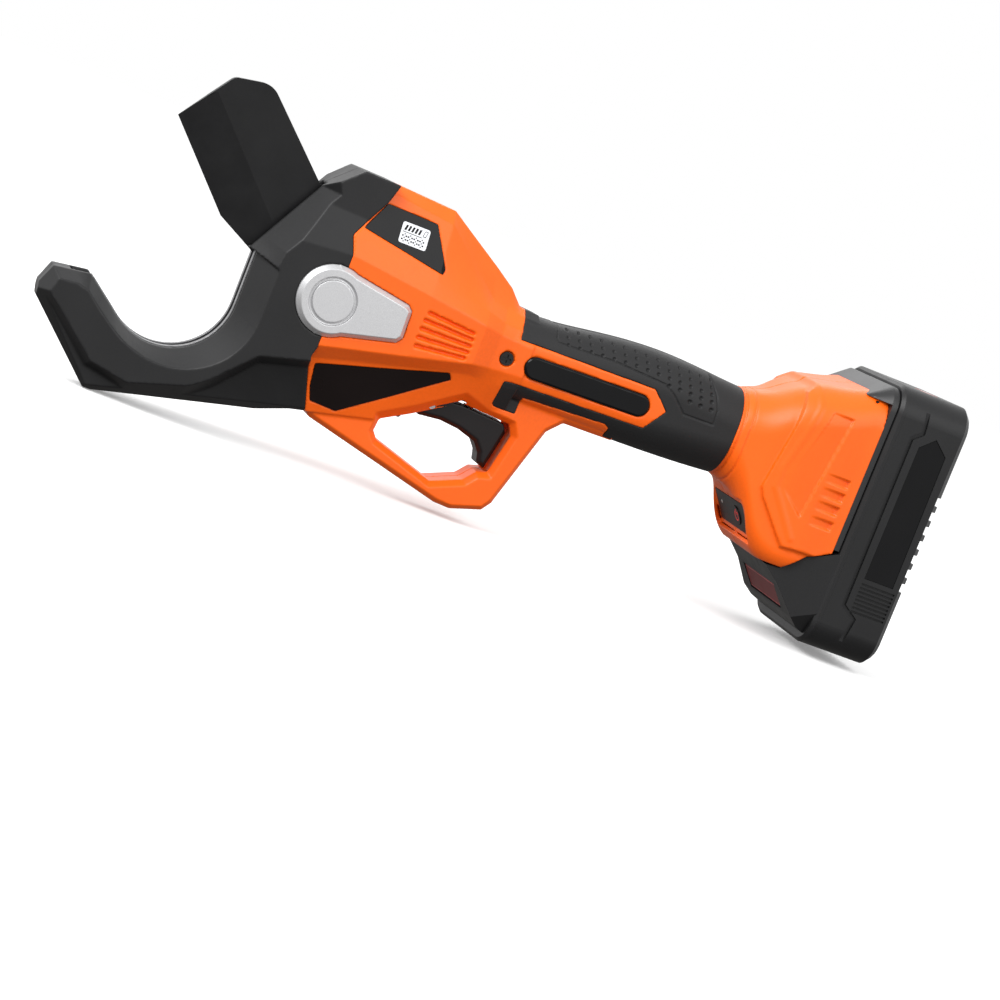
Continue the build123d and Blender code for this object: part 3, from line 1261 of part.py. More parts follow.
# ---------------------------------------------------------------- write every piece
def main():
    """Build and write the parts."""
    os.makedirs("parts", exist_ok=True)
    plate = jaw_plate()
    outer = housing_outer()
    parts = {
        "head_cover_left": head_cover(False),
        "head_cover_right": right(head_cover(True)),
        "jaw_plate_left": plate,
        "jaw_plate_right": right(plate),
        "jaw_spacer": jaw_spacer(),
        "jaw_bolts": jaw_bolts(),
        "blade": blade(),
        "blade_washers": blade_washers(),
        "pivot_bushings": pivot_bushings(),
        "pivot_shaft": pivot_shaft(),
        "pivot_nut": pivot_nut(),
        "pivot_cover_left": pivot_cover(),
        "pivot_cover_right": right(pivot_cover()),
        "blade_gear": blade_gear(),
        "bevel_pinion": bevel_pinion(),
        "gearbox": gearbox(),
        "motor": motor(),
        "motor_cradle": motor_cradle(),
        "housing_left": housing(False, outer),
        "housing_right": right(housing(True, outer)),
        "grip_rubber_left": overmold(False),
        "grip_rubber_right": right(overmold(True)),
        "display_window": display_window(),
        "display_module": display_module(),
        "side_panel_left": side_panel(),
        "side_panel_right": right(side_panel()),
        "name_badge_left": name_badge(),
        "name_badge_right": right(name_badge()),
        "cradle_screws": Compound(children=[front_screw(), one(right(front_screw()))]),
        "housing_screws": housing_screws(),
        "power_panel": power_panel(),
        "power_button": power_button(),
        "power_switch": power_switch(),
        "power_lamp": power_lamp(),
        "trigger": trigger(),
        "trigger_pin": trigger_pin(),
        "trigger_spring": trigger_spring(),
        "trigger_switch": trigger_switch(),
        "controller_board": controller_board(),
        "battery_receiver": receiver(),
        "terminal_block": terminal_block(),
        "pack_tub": pack_tub(),
        "pack_cover": pack_cover(),
        "release_button": release_button(),
        "release_springs": release_springs(),
        "pack_label_plates": label_plates(),
        "cells": cells(),
        "cell_straps": cell_straps(),
        "pack_board": pack_board(),
        "gauge_lens": gauge_lens(),
        "charge_jack": charge_jack(),
        "pack_screws": pack_screws(),
    }
    for name, shape in parts.items():
        save(name, shape)


if __name__ == "__main__":
    main()
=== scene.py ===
import json
import math

import bmesh
import bpy
import numpy as np
from mathutils import Matrix, Vector
from mathutils.bvhtree import BVHTree

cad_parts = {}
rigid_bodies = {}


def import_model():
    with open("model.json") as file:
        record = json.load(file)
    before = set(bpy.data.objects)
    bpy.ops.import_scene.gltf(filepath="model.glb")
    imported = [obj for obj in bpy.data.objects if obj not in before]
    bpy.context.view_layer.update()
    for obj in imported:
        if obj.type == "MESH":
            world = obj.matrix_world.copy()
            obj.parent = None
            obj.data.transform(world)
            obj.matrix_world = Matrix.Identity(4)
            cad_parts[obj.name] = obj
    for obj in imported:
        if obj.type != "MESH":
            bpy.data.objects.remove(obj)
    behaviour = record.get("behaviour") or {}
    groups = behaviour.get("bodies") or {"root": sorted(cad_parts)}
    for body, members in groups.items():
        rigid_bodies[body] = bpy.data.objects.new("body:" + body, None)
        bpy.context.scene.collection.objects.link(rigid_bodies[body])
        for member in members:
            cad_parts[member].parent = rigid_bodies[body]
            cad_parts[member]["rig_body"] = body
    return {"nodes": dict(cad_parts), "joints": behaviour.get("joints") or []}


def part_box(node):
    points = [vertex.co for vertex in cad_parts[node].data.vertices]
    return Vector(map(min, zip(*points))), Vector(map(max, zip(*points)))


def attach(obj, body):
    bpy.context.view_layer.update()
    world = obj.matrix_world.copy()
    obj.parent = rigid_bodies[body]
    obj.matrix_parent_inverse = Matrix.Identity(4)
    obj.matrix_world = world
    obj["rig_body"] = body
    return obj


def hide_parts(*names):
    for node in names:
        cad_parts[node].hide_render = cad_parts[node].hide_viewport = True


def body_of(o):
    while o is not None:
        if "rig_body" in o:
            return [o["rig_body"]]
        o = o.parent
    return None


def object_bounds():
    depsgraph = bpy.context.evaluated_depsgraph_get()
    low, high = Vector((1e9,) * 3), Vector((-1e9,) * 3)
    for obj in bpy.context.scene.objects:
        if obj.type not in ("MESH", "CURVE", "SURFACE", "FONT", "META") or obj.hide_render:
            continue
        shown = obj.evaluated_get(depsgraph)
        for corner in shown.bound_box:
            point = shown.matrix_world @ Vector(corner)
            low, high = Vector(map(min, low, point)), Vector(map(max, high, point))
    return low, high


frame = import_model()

CAD_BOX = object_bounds()
MM = 0.001
LEFT = -1                     # the -Y side, which carries the display
NODES = frame["nodes"]
JOINTS = {joint["name"]: joint for joint in frame["joints"]}

# view
VIEW_AZIMUTH = -16.0
VIEW_ELEVATION = 6.0
VIEW_ROLL = 21.8
VIEW_DISTANCE = 1.2
VIEW_LENS = 103.7
AIM_OFFSET = Vector((0.0211, 0.0, -0.0551))


# ---------------------------------------------------------------- materials
SOCKETS = {"colour": "Base Color", "roughness": "Roughness", "metallic": "Metallic",
           "specular": "Specular IOR Level", "coat": "Coat Weight", "coat_roughness": "Coat Roughness",
           "glow": "Emission Color", "emission": "Emission Strength"}


class Paint:
    """One node material: a Principled shader with its constants on its own sockets."""

    def __init__(self, name, **sockets):
        self.material = bpy.data.materials.new(name)
        self.material.use_nodes = True
        self.tree = self.material.node_tree
        self.tree.nodes.clear()
        self.out = self.tree.nodes.new("ShaderNodeOutputMaterial")
        self.shader = self.tree.nodes.new("ShaderNodeBsdfPrincipled")
        self.tree.links.new(self.shader.outputs[0], self.out.inputs["Surface"])
        self.place = self.tree.nodes.new("ShaderNodeTexCoord").outputs["Object"]
        self.height = None
        for socket, value in sockets.items():
            self.shader.inputs[SOCKETS[socket]].default_value = value

    def add(self, kind, settings=None, **inputs):
        node = self.tree.nodes.new(kind)
        for key, value in (settings or {}).items():
            setattr(node, key, value)
        for key, value in inputs.items():
            socket = node.inputs[int(key[1:])] if key[0] == "i" and key[1:].isdigit() else node.inputs[key]
            if isinstance(value, bpy.types.NodeSocket):
                self.tree.links.new(value, socket)
            else:
                socket.default_value = value
        return node

    def noise(self, scale, detail=3.0, roughness=0.55):
        node = self.add("ShaderNodeTexNoise", Scale=scale, Detail=detail, Roughness=roughness)
        self.tree.links.new(self.place, node.inputs["Vector"])
        return node.outputs["Fac"]

    def cells(self, scale):
        node = self.add("ShaderNodeTexVoronoi", {"feature": "SMOOTH_F1"}, Scale=scale)
        self.tree.links.new(self.place, node.inputs["Vector"])
        return node.outputs["Distance"]

    def span(self, value, low, high, start=0.3, end=0.7):
        node = self.add("ShaderNodeMapRange", i0=value, i1=start, i2=end, i3=low, i4=high)
        return node.outputs[0]

    def mix(self, factor, first, second):
        node = self.add("ShaderNodeMix", {"data_type": "RGBA"}, i0=factor, i6=first, i7=second)
        return node.outputs[2]

    def math(self, operation, first, second):
        return self.add("ShaderNodeMath", {"operation": operation}, i0=first, i1=second).outputs[0]

    def colour(self, socket):
        self.tree.links.new(socket, self.shader.inputs["Base Color"])

    def rough(self, socket):
        self.tree.links.new(socket, self.shader.inputs["Roughness"])

    def bump(self, height, depth, strength=1.0):
        """Adds one layer of relief; depth is the height of the relief in metres."""
        node = self.add("ShaderNodeBump", Strength=strength, Distance=depth, Height=height)
        if self.height is not None:
            self.tree.links.new(self.height, node.inputs["Normal"])
        self.height = node.outputs["Normal"]
        self.tree.links.new(self.height, self.shader.inputs["Normal"])


def shade(colour, share):
    """A colour with its red, green and blue scaled."""
    return tuple(part * share for part in colour[:3]) + (1.0,)


def moulded_plastic(name, colour, roughness, grain=0.00002, grain_scale=1400.0, tone=0.90, scuff=0.06,
                    **more):
    """Moulded plastic: faint flow tone, fine spark grain, uneven gloss and a few scuffs."""
    paint = Paint(name, colour=colour, roughness=roughness, **more)
    flow = paint.noise(38.0, 2.0)
    dust = paint.noise(900.0, 2.0)
    base = paint.mix(paint.span(flow, 0.0, 1.0), shade(colour, tone), colour)
    speck = paint.mix(paint.span(dust, 0.0, 0.35, 0.35, 0.75), base, shade(colour, 1.12))
    paint.colour(speck)
    wear = paint.noise(160.0, 5.0, 0.7)
    gloss = paint.math("ADD", paint.span(flow, roughness - 0.04, roughness + 0.03),
                       paint.span(wear, 0.0, scuff, 0.55, 0.75))
    paint.rough(gloss)
    paint.bump(paint.noise(grain_scale, 2.0, 0.6), grain, 0.6)
    paint.bump(paint.noise(55.0, 1.0), 0.00006, 0.25)
    return paint


def orange_plastic():
    return moulded_plastic("orange_plastic", (0.97, 0.132, 0.006, 1.0), 0.36, grain=0.000012, tone=0.93,
                           specular=0.3)


def head_plastic():
    return moulded_plastic("head_plastic", (0.0145, 0.0145, 0.0152, 1.0), 0.47, grain=0.00003,
                           grain_scale=1900.0, tone=0.8, scuff=0.1, specular=0.3)


def pack_plastic():
    return moulded_plastic("pack_plastic", (0.0135, 0.0135, 0.0142, 1.0), 0.4, grain=0.00004,
                           grain_scale=1700.0, tone=0.8, scuff=0.1, specular=0.3)


def black_plastic():
    return moulded_plastic("black_plastic", (0.012, 0.012, 0.013, 1.0), 0.4)


def trigger_plastic():
    return moulded_plastic("trigger_plastic", (0.012, 0.0098, 0.0102, 1.0), 0.36, grain=0.00001,
                           specular=0.25)


def panel_film():
    return moulded_plastic("panel_film", (0.009, 0.0055, 0.0052, 1.0), 0.3, grain=0.000006, specular=0.2)


def button_dark():
    return moulded_plastic("button_dark", (0.010, 0.006, 0.006, 1.0), 0.34, grain=0.000008, specular=0.2)


def red_plastic():
    return moulded_plastic("red_plastic", (0.15, 0.0035, 0.005, 1.0), 0.34, grain=0.000008, specular=0.18)


def grip_rubber():
    paint = moulded_plastic("grip_rubber", (0.0155, 0.0155, 0.0162, 1.0), 0.56, grain=0.00005,
                            grain_scale=2100.0, tone=0.82, scuff=0.08, specular=0.3)
    paint.bump(paint.cells(1500.0), 0.00003, 0.5)
    return paint


def gloss_black():
    paint = Paint("gloss_black", colour=(0.003, 0.003, 0.0034, 1.0), roughness=0.07, specular=0.16)
    smear = paint.noise(90.0, 4.0, 0.6)
    paint.colour(paint.mix(smear, (0.003, 0.003, 0.0035, 1.0), (0.006, 0.006, 0.0065, 1.0)))
    paint.rough(paint.span(smear, 0.06, 0.14))
    paint.bump(paint.noise(30.0, 1.0), 0.00004, 0.2)
    return paint


def display_glass():
    paint = Paint("display_glass", colour=(0.7, 0.72, 0.74, 1.0), roughness=0.2, coat=0.4,
                  coat_roughness=0.08)
    cloud = paint.noise(420.0, 2.0)
    paint.colour(paint.mix(cloud, (0.58, 0.59, 0.63, 1.0), (0.82, 0.83, 0.86, 1.0)))
    paint.rough(paint.span(cloud, 0.15, 0.25))
    paint.bump(paint.noise(2500.0, 1.0), 0.000003, 0.3)
    return paint


def silver_paint():
    """Silver paint: metal flake in a satin lacquer."""
    paint = Paint("silver_paint", colour=(0.56, 0.56, 0.57, 1.0), roughness=0.38, metallic=0.55, coat=0.15,
                  coat_roughness=0.3)
    flake = paint.noise(5200.0, 2.0, 0.7)
    flow = paint.noise(45.0, 2.0)
    base = paint.mix(paint.span(flake, 0.0, 1.0), (0.46, 0.46, 0.47, 1.0), (0.68, 0.68, 0.69, 1.0))
    paint.colour(paint.mix(paint.span(flow, 0.0, 0.3), base, (0.5, 0.5, 0.51, 1.0)))
    paint.rough(paint.span(flow, 0.34, 0.44))
    paint.bump(flake, 0.000004, 0.4)
    return paint


def blade_coating():
    """Black low-friction coating: even, with faint drawing marks and slight handling wear."""
    paint = Paint("blade_coating", colour=(0.006, 0.006, 0.0065, 1.0), roughness=0.36, specular=0.22)
    stretch = paint.add("ShaderNodeMapping")
    stretch.inputs["Rotation"].default_value = (0.0, math.radians(-48.0), 0.0)
    stretch.inputs["Scale"].default_value = (12.0, 60.0, 1.0)
    paint.tree.links.new(paint.place, stretch.inputs["Vector"])
    marks = paint.add("ShaderNodeTexNoise", Scale=70.0, Detail=4.0)
    paint.tree.links.new(stretch.outputs[0], marks.inputs["Vector"])
    cloud = paint.noise(60.0, 4.0, 0.65)
    base = paint.mix(paint.span(cloud, 0.0, 1.0), (0.005, 0.005, 0.0055, 1.0), (0.009, 0.009, 0.0095, 1.0))
    paint.colour(base)
    paint.rough(paint.math("ADD", paint.span(cloud, 0.3, 0.42), paint.span(marks.outputs["Fac"], 0.0, 0.06)))
    paint.bump(marks.outputs["Fac"], 0.000006, 0.5)
    paint.bump(paint.noise(2400.0, 2.0), 0.000012, 0.4)
    return paint


TOOL_MARKS_SCALE = (8.0, 8.0, 900.0)
STAIN = 0.5


def machined(name, dark, light, roughness, metallic=1.0):
    """Machined metal: fine tool marks one way, cloudy stain and uneven gloss."""
    paint = Paint(name, colour=light, roughness=roughness, metallic=metallic)
    stretch = paint.add("ShaderNodeMapping")
    stretch.inputs["Scale"].default_value = TOOL_MARKS_SCALE
    paint.tree.links.new(paint.place, stretch.inputs["Vector"])
    marks = paint.add("ShaderNodeTexNoise", Scale=4.0, Detail=5.0)
    paint.tree.links.new(stretch.outputs[0], marks.inputs["Vector"])
    cloud = paint.noise(130.0, 4.0, 0.6)
    base = paint.mix(paint.span(marks.outputs["Fac"], 0.0, 1.0), dark, light)
    paint.colour(paint.mix(paint.span(cloud, 0.0, STAIN), base, dark))
    paint.rough(paint.span(cloud, roughness - 0.05, roughness + 0.1))
    paint.bump(marks.outputs["Fac"], 0.000006, 0.6)
    return paint


def circuit_board():
    paint = Paint("circuit_board", colour=(0.01, 0.09, 0.035, 1.0), roughness=0.35)
    copper = paint.add("ShaderNodeTexBrick", {"offset": 0.3}, Scale=160.0)
    paint.tree.links.new(paint.place, copper.inputs["Vector"])
    paint.colour(paint.mix(copper.outputs["Fac"], (0.01, 0.085, 0.03, 1.0), (0.03, 0.17, 0.06, 1.0)))
    paint.rough(paint.span(paint.noise(300.0), 0.3, 0.45))
    paint.bump(copper.outputs["Fac"], 0.00003, 0.5)
    return paint


def cell_wrap():
    return moulded_plastic("cell_wrap", (0.02, 0.12, 0.28, 1.0), 0.25, grain=0.000004, coat=0.3,
                           coat_roughness=0.1)


def lens(name, deep, pale):
    paint = Paint(name, colour=pale, roughness=0.18, coat=0.5, coat_roughness=0.06)
    cloud = paint.noise(500.0, 2.0)
    paint.colour(paint.mix(cloud, deep, pale))
    paint.rough(paint.span(cloud, 0.12, 0.22))
    paint.bump(paint.noise(1200.0, 1.0), 0.000006, 0.3)
    return paint


PAINTS = {
    "orange_plastic": orange_plastic(),
    "head_plastic": head_plastic(),
    "pack_plastic": pack_plastic(),
    "black_plastic": black_plastic(),
    "trigger_plastic": trigger_plastic(),
    "panel_film": panel_film(),
    "button_dark": button_dark(),
    "red_plastic": red_plastic(),
    "grip_rubber": grip_rubber(),
    "gloss_black": gloss_black(),
    "display_glass": display_glass(),
    "silver_paint": silver_paint(),
    "blade_coating": blade_coating(),
    "plate_steel": machined("plate_steel", (0.16, 0.16, 0.165, 1.0), (0.42, 0.42, 0.43, 1.0), 0.3),
    "fastener_black": machined("fastener_black", (0.012, 0.011, 0.011, 1.0), (0.03, 0.028, 0.028, 1.0), 0.32,
                               metallic=0.6),
    "bronze": machined("bronze", (0.32, 0.19, 0.07, 1.0), (0.55, 0.36, 0.15, 1.0), 0.3),
    "gear_steel": machined("gear_steel", (0.3, 0.3, 0.31, 1.0), (0.56, 0.56, 0.57, 1.0), 0.28),
    "gearbox_metal": machined("gearbox_metal", (0.4, 0.4, 0.41, 1.0), (0.6, 0.6, 0.61, 1.0), 0.42),
    "motor_can": machined("motor_can", (0.03, 0.03, 0.032, 1.0), (0.07, 0.07, 0.075, 1.0), 0.35),
    "spring_steel": machined("spring_steel", (0.4, 0.4, 0.41, 1.0), (0.65, 0.65, 0.66, 1.0), 0.25),
    "nickel": machined("nickel", (0.5, 0.48, 0.42, 1.0), (0.72, 0.69, 0.62, 1.0), 0.28),
    "circuit_board": circuit_board(),
    "cell_wrap": cell_wrap(),
    "lamp_lens": lens("lamp_lens", (0.5, 0.5, 0.48, 1.0), (0.8, 0.8, 0.78, 1.0)),
    "red_lens": lens("red_lens", (0.5, 0.09, 0.07, 1.0), (0.75, 0.2, 0.17, 1.0)),
}
MATERIALS = {name: paint.material for name, paint in PAINTS.items()}

SLOT_OF = {}
for node_name, node_object in NODES.items():
    SLOT_OF[node_name] = node_object.material_slots[0].material.name.split(".")[0]
    for material_slot in node_object.material_slots:
        material_slot.material = MATERIALS[SLOT_OF[node_name]]


# ---------------------------------------------------------------- pieces
MERGE_DISTANCE = 1e-6
FLAT_ANGLE = 0.5                    # degrees between faces that count as one
BEVEL_ANGLE = 22.0                  # degrees from which an edge is rounded


def finish_piece(piece, node):
    """Gives a new piece the body and the finish of a CAD node, and smooth shading."""
    slot = SLOT_OF[node]
    piece.data.materials.clear()
    piece.data.materials.append(MATERIALS[slot])
    piece.data.polygons.foreach_set("use_smooth", [True] * len(piece.data.polygons))
    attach(piece, body_of(NODES[node])[0])


def softened(node, voxel, rounds):
    """An even, closed copy of a CAD node with moulded edges, which stands for the node."""
    source = NODES[node]
    mesh = source.data.copy()
    work = bmesh.new()
    work.from_mesh(mesh)
    bmesh.ops.remove_doubles(work, verts=work.verts, dist=MERGE_DISTANCE)
    work.to_mesh(mesh)
    work.free()
    piece = bpy.data.objects.new(node + "_moulded", mesh)
    bpy.context.scene.collection.objects.link(piece)
    remesh = piece.modifiers.new("even", "REMESH")
    remesh.mode = "VOXEL"
    remesh.voxel_size = voxel
    smooth = piece.modifiers.new("moulded_edges", "SMOOTH")
    smooth.factor = 0.5
    smooth.iterations = rounds
    depsgraph = bpy.context.evaluated_depsgraph_get()
    even = bpy.data.meshes.new_from_object(piece.evaluated_get(depsgraph))
    piece.modifiers.clear()
    piece.data = even
    finish_piece(piece, node)
    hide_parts(node)
    return piece


def rounded(node, width, segments):
    """Rounds the outer edges of a CAD node with modifiers; its mesh stays as it is."""
    piece = NODES[node]
    weld = piece.modifiers.new("weld", "WELD")
    weld.merge_threshold = MERGE_DISTANCE
    flat = piece.modifiers.new("flat_faces", "DECIMATE")
    flat.decimate_type = "DISSOLVE"
    flat.angle_limit = math.radians(FLAT_ANGLE)
    bevel = piece.modifiers.new("rounded_edges", "BEVEL")
    bevel.width = width
    bevel.segments = segments
    bevel.limit_method = "ANGLE"
    bevel.angle_limit = math.radians(BEVEL_ANGLE)
    bevel.harden_normals = True
    bevel.use_clamp_overlap = True
    even = piece.modifiers.new("even_shading", "WEIGHTED_NORMAL")
    even.keep_sharp = True


def vertex_arrays(mesh):
    """Positions and normals of a mesh in mm and unit vectors."""
    count = len(mesh.vertices)
    places, normals = np.empty(count * 3), np.empty(count * 3)
    mesh.vertices.foreach_get("co", places)
    mesh.vertices.foreach_get("normal", normals)
    return places.reshape(-1, 3) / MM, normals.reshape(-1, 3)


def smooth_step(value):
    value = np.clip(value, 0.0, 1.0)
    return value * value * (3 - 2 * value)


def path_distance(points, path):
    """Distance in the XZ plane from each point to a run of straight lines."""
    best = np.full(len(points), np.inf)
    flat = points[:, [0, 2]]
    for start, end in zip(path[:-1], path[1:]):
        start, way = np.array(start), np.array(end) - np.array(start)
        along = np.clip((flat - start) @ way / (way @ way), 0.0, 1.0)
        best = np.minimum(best, np.linalg.norm(flat - start - along[:, None] * way, axis=1))
    return best


def inside(points, outline):
    """True for each point inside a closed outline in the XZ plane."""
    x, z = points[:, 0], points[:, 2]
    found = np.zeros(len(points), dtype=bool)
    for (x0, z0), (x1, z1) in zip(outline, outline[1:] + outline[:1]):
        crosses = (z0 > z) != (z1 > z)
        with np.errstate(divide="ignore", invalid="ignore"):
            found ^= crosses & (x < (x1 - x0) * (z - z0) / (z1 - z0) + x0)
    return found


INWARD_LIMIT = 0.12                 # how far a normal may lean inward and still count as outer
SPLIT_MARGIN = 0.6                  # mm beside the middle plane that stay as they are


def carve(piece, depth_of):
    """Moves the outer surface of a dense piece inward by depth_of(points) in mm."""
    mesh = piece.data
    points, normals = vertex_arrays(mesh)
    side = np.sign(np.mean(points[:, 1]))
    outer = (normals[:, 1] * side > -INWARD_LIMIT) & (points[:, 1] * side > SPLIT_MARGIN)
    depth = depth_of(points) * outer
    moved = (points - normals * depth[:, None]) * MM
    mesh.vertices.foreach_set("co", moved.ravel())
    mesh.update()


# grip: a wrapped field of dimples inside a fine groove
DOT_ROWS = [3] * 9 + [4] * 2 + [5] * 3      # dimples in each column, from the front
DOT_PITCH = 5.02
DOT_ROW = 2.45
DOT_FIRST = (-171.6, 15.6)
DOT_ROW_SHIFT = 0.7                 # each lower row starts a little further back
DOT_ROW_SPREAD = 0.1
DOT_RISE = 0.36
DOT_RISE_COLUMNS = 6
DOT_RADIUS = 0.62
DOT_RADIUS_STEP = 0.09
DOT_DEPTH = 0.75
GRIP_GROOVE_DEPTH = 0.45
GRIP_GROOVE_WIDTH = 0.55
GRIP_FIELD_DEPTH = 0.22
GRIP_FIELD = [(-175.8, 40.0), (-175.7, 11.4), (-174.2, 9.9), (-149.4, 10.9), (-126.1, 9.6), (-121.1, 6.7),
              (-114.3, 0.6), (-100.4, 0.8), (-100.6, 7.1), (-102.6, 12.8), (-107.0, 20.2), (-107.4, 40.0)]


def grip_depth(points):
    """Depth of the grip's groove, sunken field and dimples at each point."""
    away = path_distance(points, GRIP_FIELD)
    groove = GRIP_GROOVE_DEPTH * (1 - smooth_step(away / GRIP_GROOVE_WIDTH))
    field = GRIP_FIELD_DEPTH * inside(points, GRIP_FIELD)
    dots = np.zeros(len(points))
    for i, rows in enumerate(DOT_ROWS):
        for k in range(rows):
            x = DOT_FIRST[0] + DOT_PITCH * i + DOT_ROW_SHIFT * k
            z = DOT_FIRST[1] + DOT_RISE * min(i, DOT_RISE_COLUMNS) - DOT_ROW * k - DOT_ROW_SPREAD * k * k
            radius = DOT_RADIUS + DOT_RADIUS_STEP * k
            away = np.hypot(points[:, 0] - x, points[:, 2] - z) / radius
            dots = np.maximum(dots, DOT_DEPTH * np.sqrt(np.clip(1 - away ** 2, 0, 1)))
    return np.maximum(groove, dots) + field


# foot: the raised shield has a pocket with a sharp V edge and four stepped ribs
SHIELD_INNER = [(-63.6, 33.0), (-62.8, 24.0), (-65.6, 10.0), (-68.8, -4.5), (-68.6, -13.0), (-55.4, -31.0)]
V_TOP = (-57.4, 24.6)
V_EDGE = ((-48.7, 24.7), (-54.8, -21.8))
V_FOOT = (-66.5, -12.0)
RIB_TOPS = [0.2, -5.9, -11.9, -18.6]
RIB_DROP = 4.0
RIB_DEPTH = 1.7
RIB_START_X = -51.5
RIB_RAMP = (-51.0, 11.0)            # where the ribs begin to sink, and over what length
RIB_END_X = -40.2
RIB_LEAN = 0.05
RIB_EDGE = 0.5
RIB_END_FADE = 0.6
POCKET_DEPTH = 1.35
POCKET_FADE = 13.0
POCKET_EDGE = 0.5
BAND_RISE = 0.3
BAND_WIDTH = 2.2
NECK_GROOVES = (-88.0, -84.6)       # fine grooves on both sides of the ring at the neck
NECK_GROOVE_DEPTH = 0.55
NECK_GROOVE_WIDTH = 0.75


def foot_depth(points):
    """Depth of the foot's pocket, ribs and neck grooves at each point, less the raised band."""
    x, z = points[:, 0], points[:, 2]
    outline = [V_TOP, V_EDGE[0], V_EDGE[1], V_FOOT]
    pocket = inside(points, outline)
    near = path_distance(points, outline)
    edge = path_distance(points, list(V_EDGE))
    sunk = POCKET_DEPTH * pocket * smooth_step(near / POCKET_EDGE) * (1 - smooth_step(edge / POCKET_FADE))
    ribs = np.zeros(len(points))
    for top in RIB_TOPS:
        right = RIB_END_X - RIB_LEAN * (top - z)
        wedge = np.clip((x - RIB_RAMP[0]) / RIB_RAMP[1], 0, 1)
        wedge = wedge * smooth_step((top - z) / RIB_EDGE) * smooth_step((z - top + RIB_DROP) / RIB_EDGE)
        rib = RIB_DEPTH * wedge * smooth_step((right - x) / RIB_END_FADE) * (x > RIB_START_X)
        ribs = np.maximum(ribs, rib)
    band = BAND_RISE * (1 - smooth_step(path_distance(points, SHIELD_INNER) / BAND_WIDTH))
    neck = np.zeros(len(points))
    for place in NECK_GROOVES:
        away = np.abs(x - place) / NECK_GROOVE_WIDTH
        neck = np.maximum(neck, NECK_GROOVE_DEPTH * (1 - smooth_step(away)))
    return np.maximum(np.maximum(sunk, ribs), neck) - band


# softened: node, voxel size, rounds of smoothing; rounded: node, width of the rounding, segments
for side in ("left", "right"):
    carve(softened("housing_" + side, 0.5 * MM, 3), foot_depth)
    softened("head_cover_" + side, 0.45 * MM, 1)
    carve(softened("grip_rubber_" + side, 0.3 * MM, 2), grip_depth)
    softened("pivot_cover_" + side, 0.2 * MM, 2)
    softened("name_badge_" + side, 0.2 * MM, 2)
    rounded("jaw_plate_" + side, 0.12 * MM, 1)
softened("trigger", 0.35 * MM, 4)
rounded("cradle_screws", 0.1 * MM, 1)
rounded("pack_cover", 0.5 * MM, 2)
rounded("pack_tub", 0.35 * MM, 2)
rounded("battery_receiver", 0.4 * MM, 2)
rounded("blade", 0.2 * MM, 2)
rounded("release_button", 0.3 * MM, 2)
rounded("display_window", 0.12 * MM, 1)


# ---------------------------------------------------------------- marks on surfaces
def surface_of(node):
    """Ray tree of a node's faces."""
    mesh = NODES[node].data
    return BVHTree.FromPolygons([v.co for v in mesh.vertices], [tuple(p.vertices) for p in mesh.polygons])


def plate_piece(name, shapes, node, frame_of, material, lift, sink):
    """Thin raised marks from closed outlines; frame_of maps their mm to a place and the outward way."""
    work = bmesh.new()
    for shape in shapes:
        front, back = [], []
        for u, v in shape:
            place, out = frame_of(u, v)
            front.append(work.verts.new(place + out * lift * MM))
            back.append(work.verts.new(place - out * sink * MM))
        work.faces.new(front)
        work.faces.new(back[::-1])
        for i in range(len(shape)):
            j = (i + 1) % len(shape)
            work.faces.new((front[i], back[i], back[j], front[j]))
    bmesh.ops.recalc_face_normals(work, faces=work.faces)
    mesh = bpy.data.meshes.new(name)
    work.to_mesh(mesh)
    work.free()
    mesh.materials.append(material)
    piece = bpy.data.objects.new(name, mesh)
    bpy.context.scene.collection.objects.link(piece)
    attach(piece, body_of(NODES[node])[0])


RAY_START = 0.2                     # metres from the middle plane, outside the tool


def side_frame(node):
    """Maps (x, z) in mm to the node's outer surface on the display's side."""
    tree = surface_of(node)

    def at(x, z):
        start = Vector((x * MM, LEFT * RAY_START, z * MM))
        place, normal, _, _ = tree.ray_cast(start, Vector((0, -LEFT, 0)))
        return place, (normal if normal.y * LEFT > 0 else -normal)
    return at


def bar(start, end, width):
    """Outline of a bar between two points."""
    way = (Vector(end) - Vector(start)).normalized()
    across = Vector((-way.y, way.x)) * width / 2
    return [tuple(Vector(start) + across), tuple(Vector(start) - across), tuple(Vector(end) - across),
            tuple(Vector(end) + across)]


LCD_CORNER = 0.9                    # mm
CORNER_STEPS = 4
# the display's marks, as shares of its width and height
LCD_FULL_BLOCKS = [(0.09 + 0.125 * i, 0.075) for i in range(5)]     # left and width
LCD_EMPTY_BLOCK_SIDES = [(0.77, 0.02), (0.87, 0.02)]
LCD_BLOCK_FOOT, LCD_BLOCK_TOP, LCD_BLOCK_LEAN = 0.62, 0.88, 0.05
LCD_EMPTY_BLOCK_ENDS = [(0.79, 0.60, 0.89, 0.63), (0.84, 0.87, 0.93, 0.90)]
LCD_RULE = (0.06, 0.525, 0.76, 0.555)
LCD_DIGITS = 4
LCD_DIGIT_FIRST, LCD_DIGIT_PITCH, LCD_DIGIT_WIDTH = 0.10, 0.21, 0.13
LCD_DIGIT_FOOT, LCD_DIGIT_TOP = 0.10, 0.44
LCD_STROKE = 0.048
LCD_STROKE_TALL, LCD_STROKE_WIDE = 0.7, 0.6     # half strokes of level and upright lines, in strokes


def rounded_outline(low, high, radius):
    """Rectangle with round corners, as points."""
    points = []
    centres = [(high[0] - radius, high[1] - radius, 0), (low[0] + radius, high[1] - radius, 90),
               (low[0] + radius, low[1] + radius, 180), (high[0] - radius, low[1] + radius, 270)]
    for x, z, start in centres:
        for i in range(CORNER_STEPS + 1):
            turn = math.radians(start + 90 * i / CORNER_STEPS)
            points.append((x + radius * math.cos(turn), z + radius * math.sin(turn)))
    return points


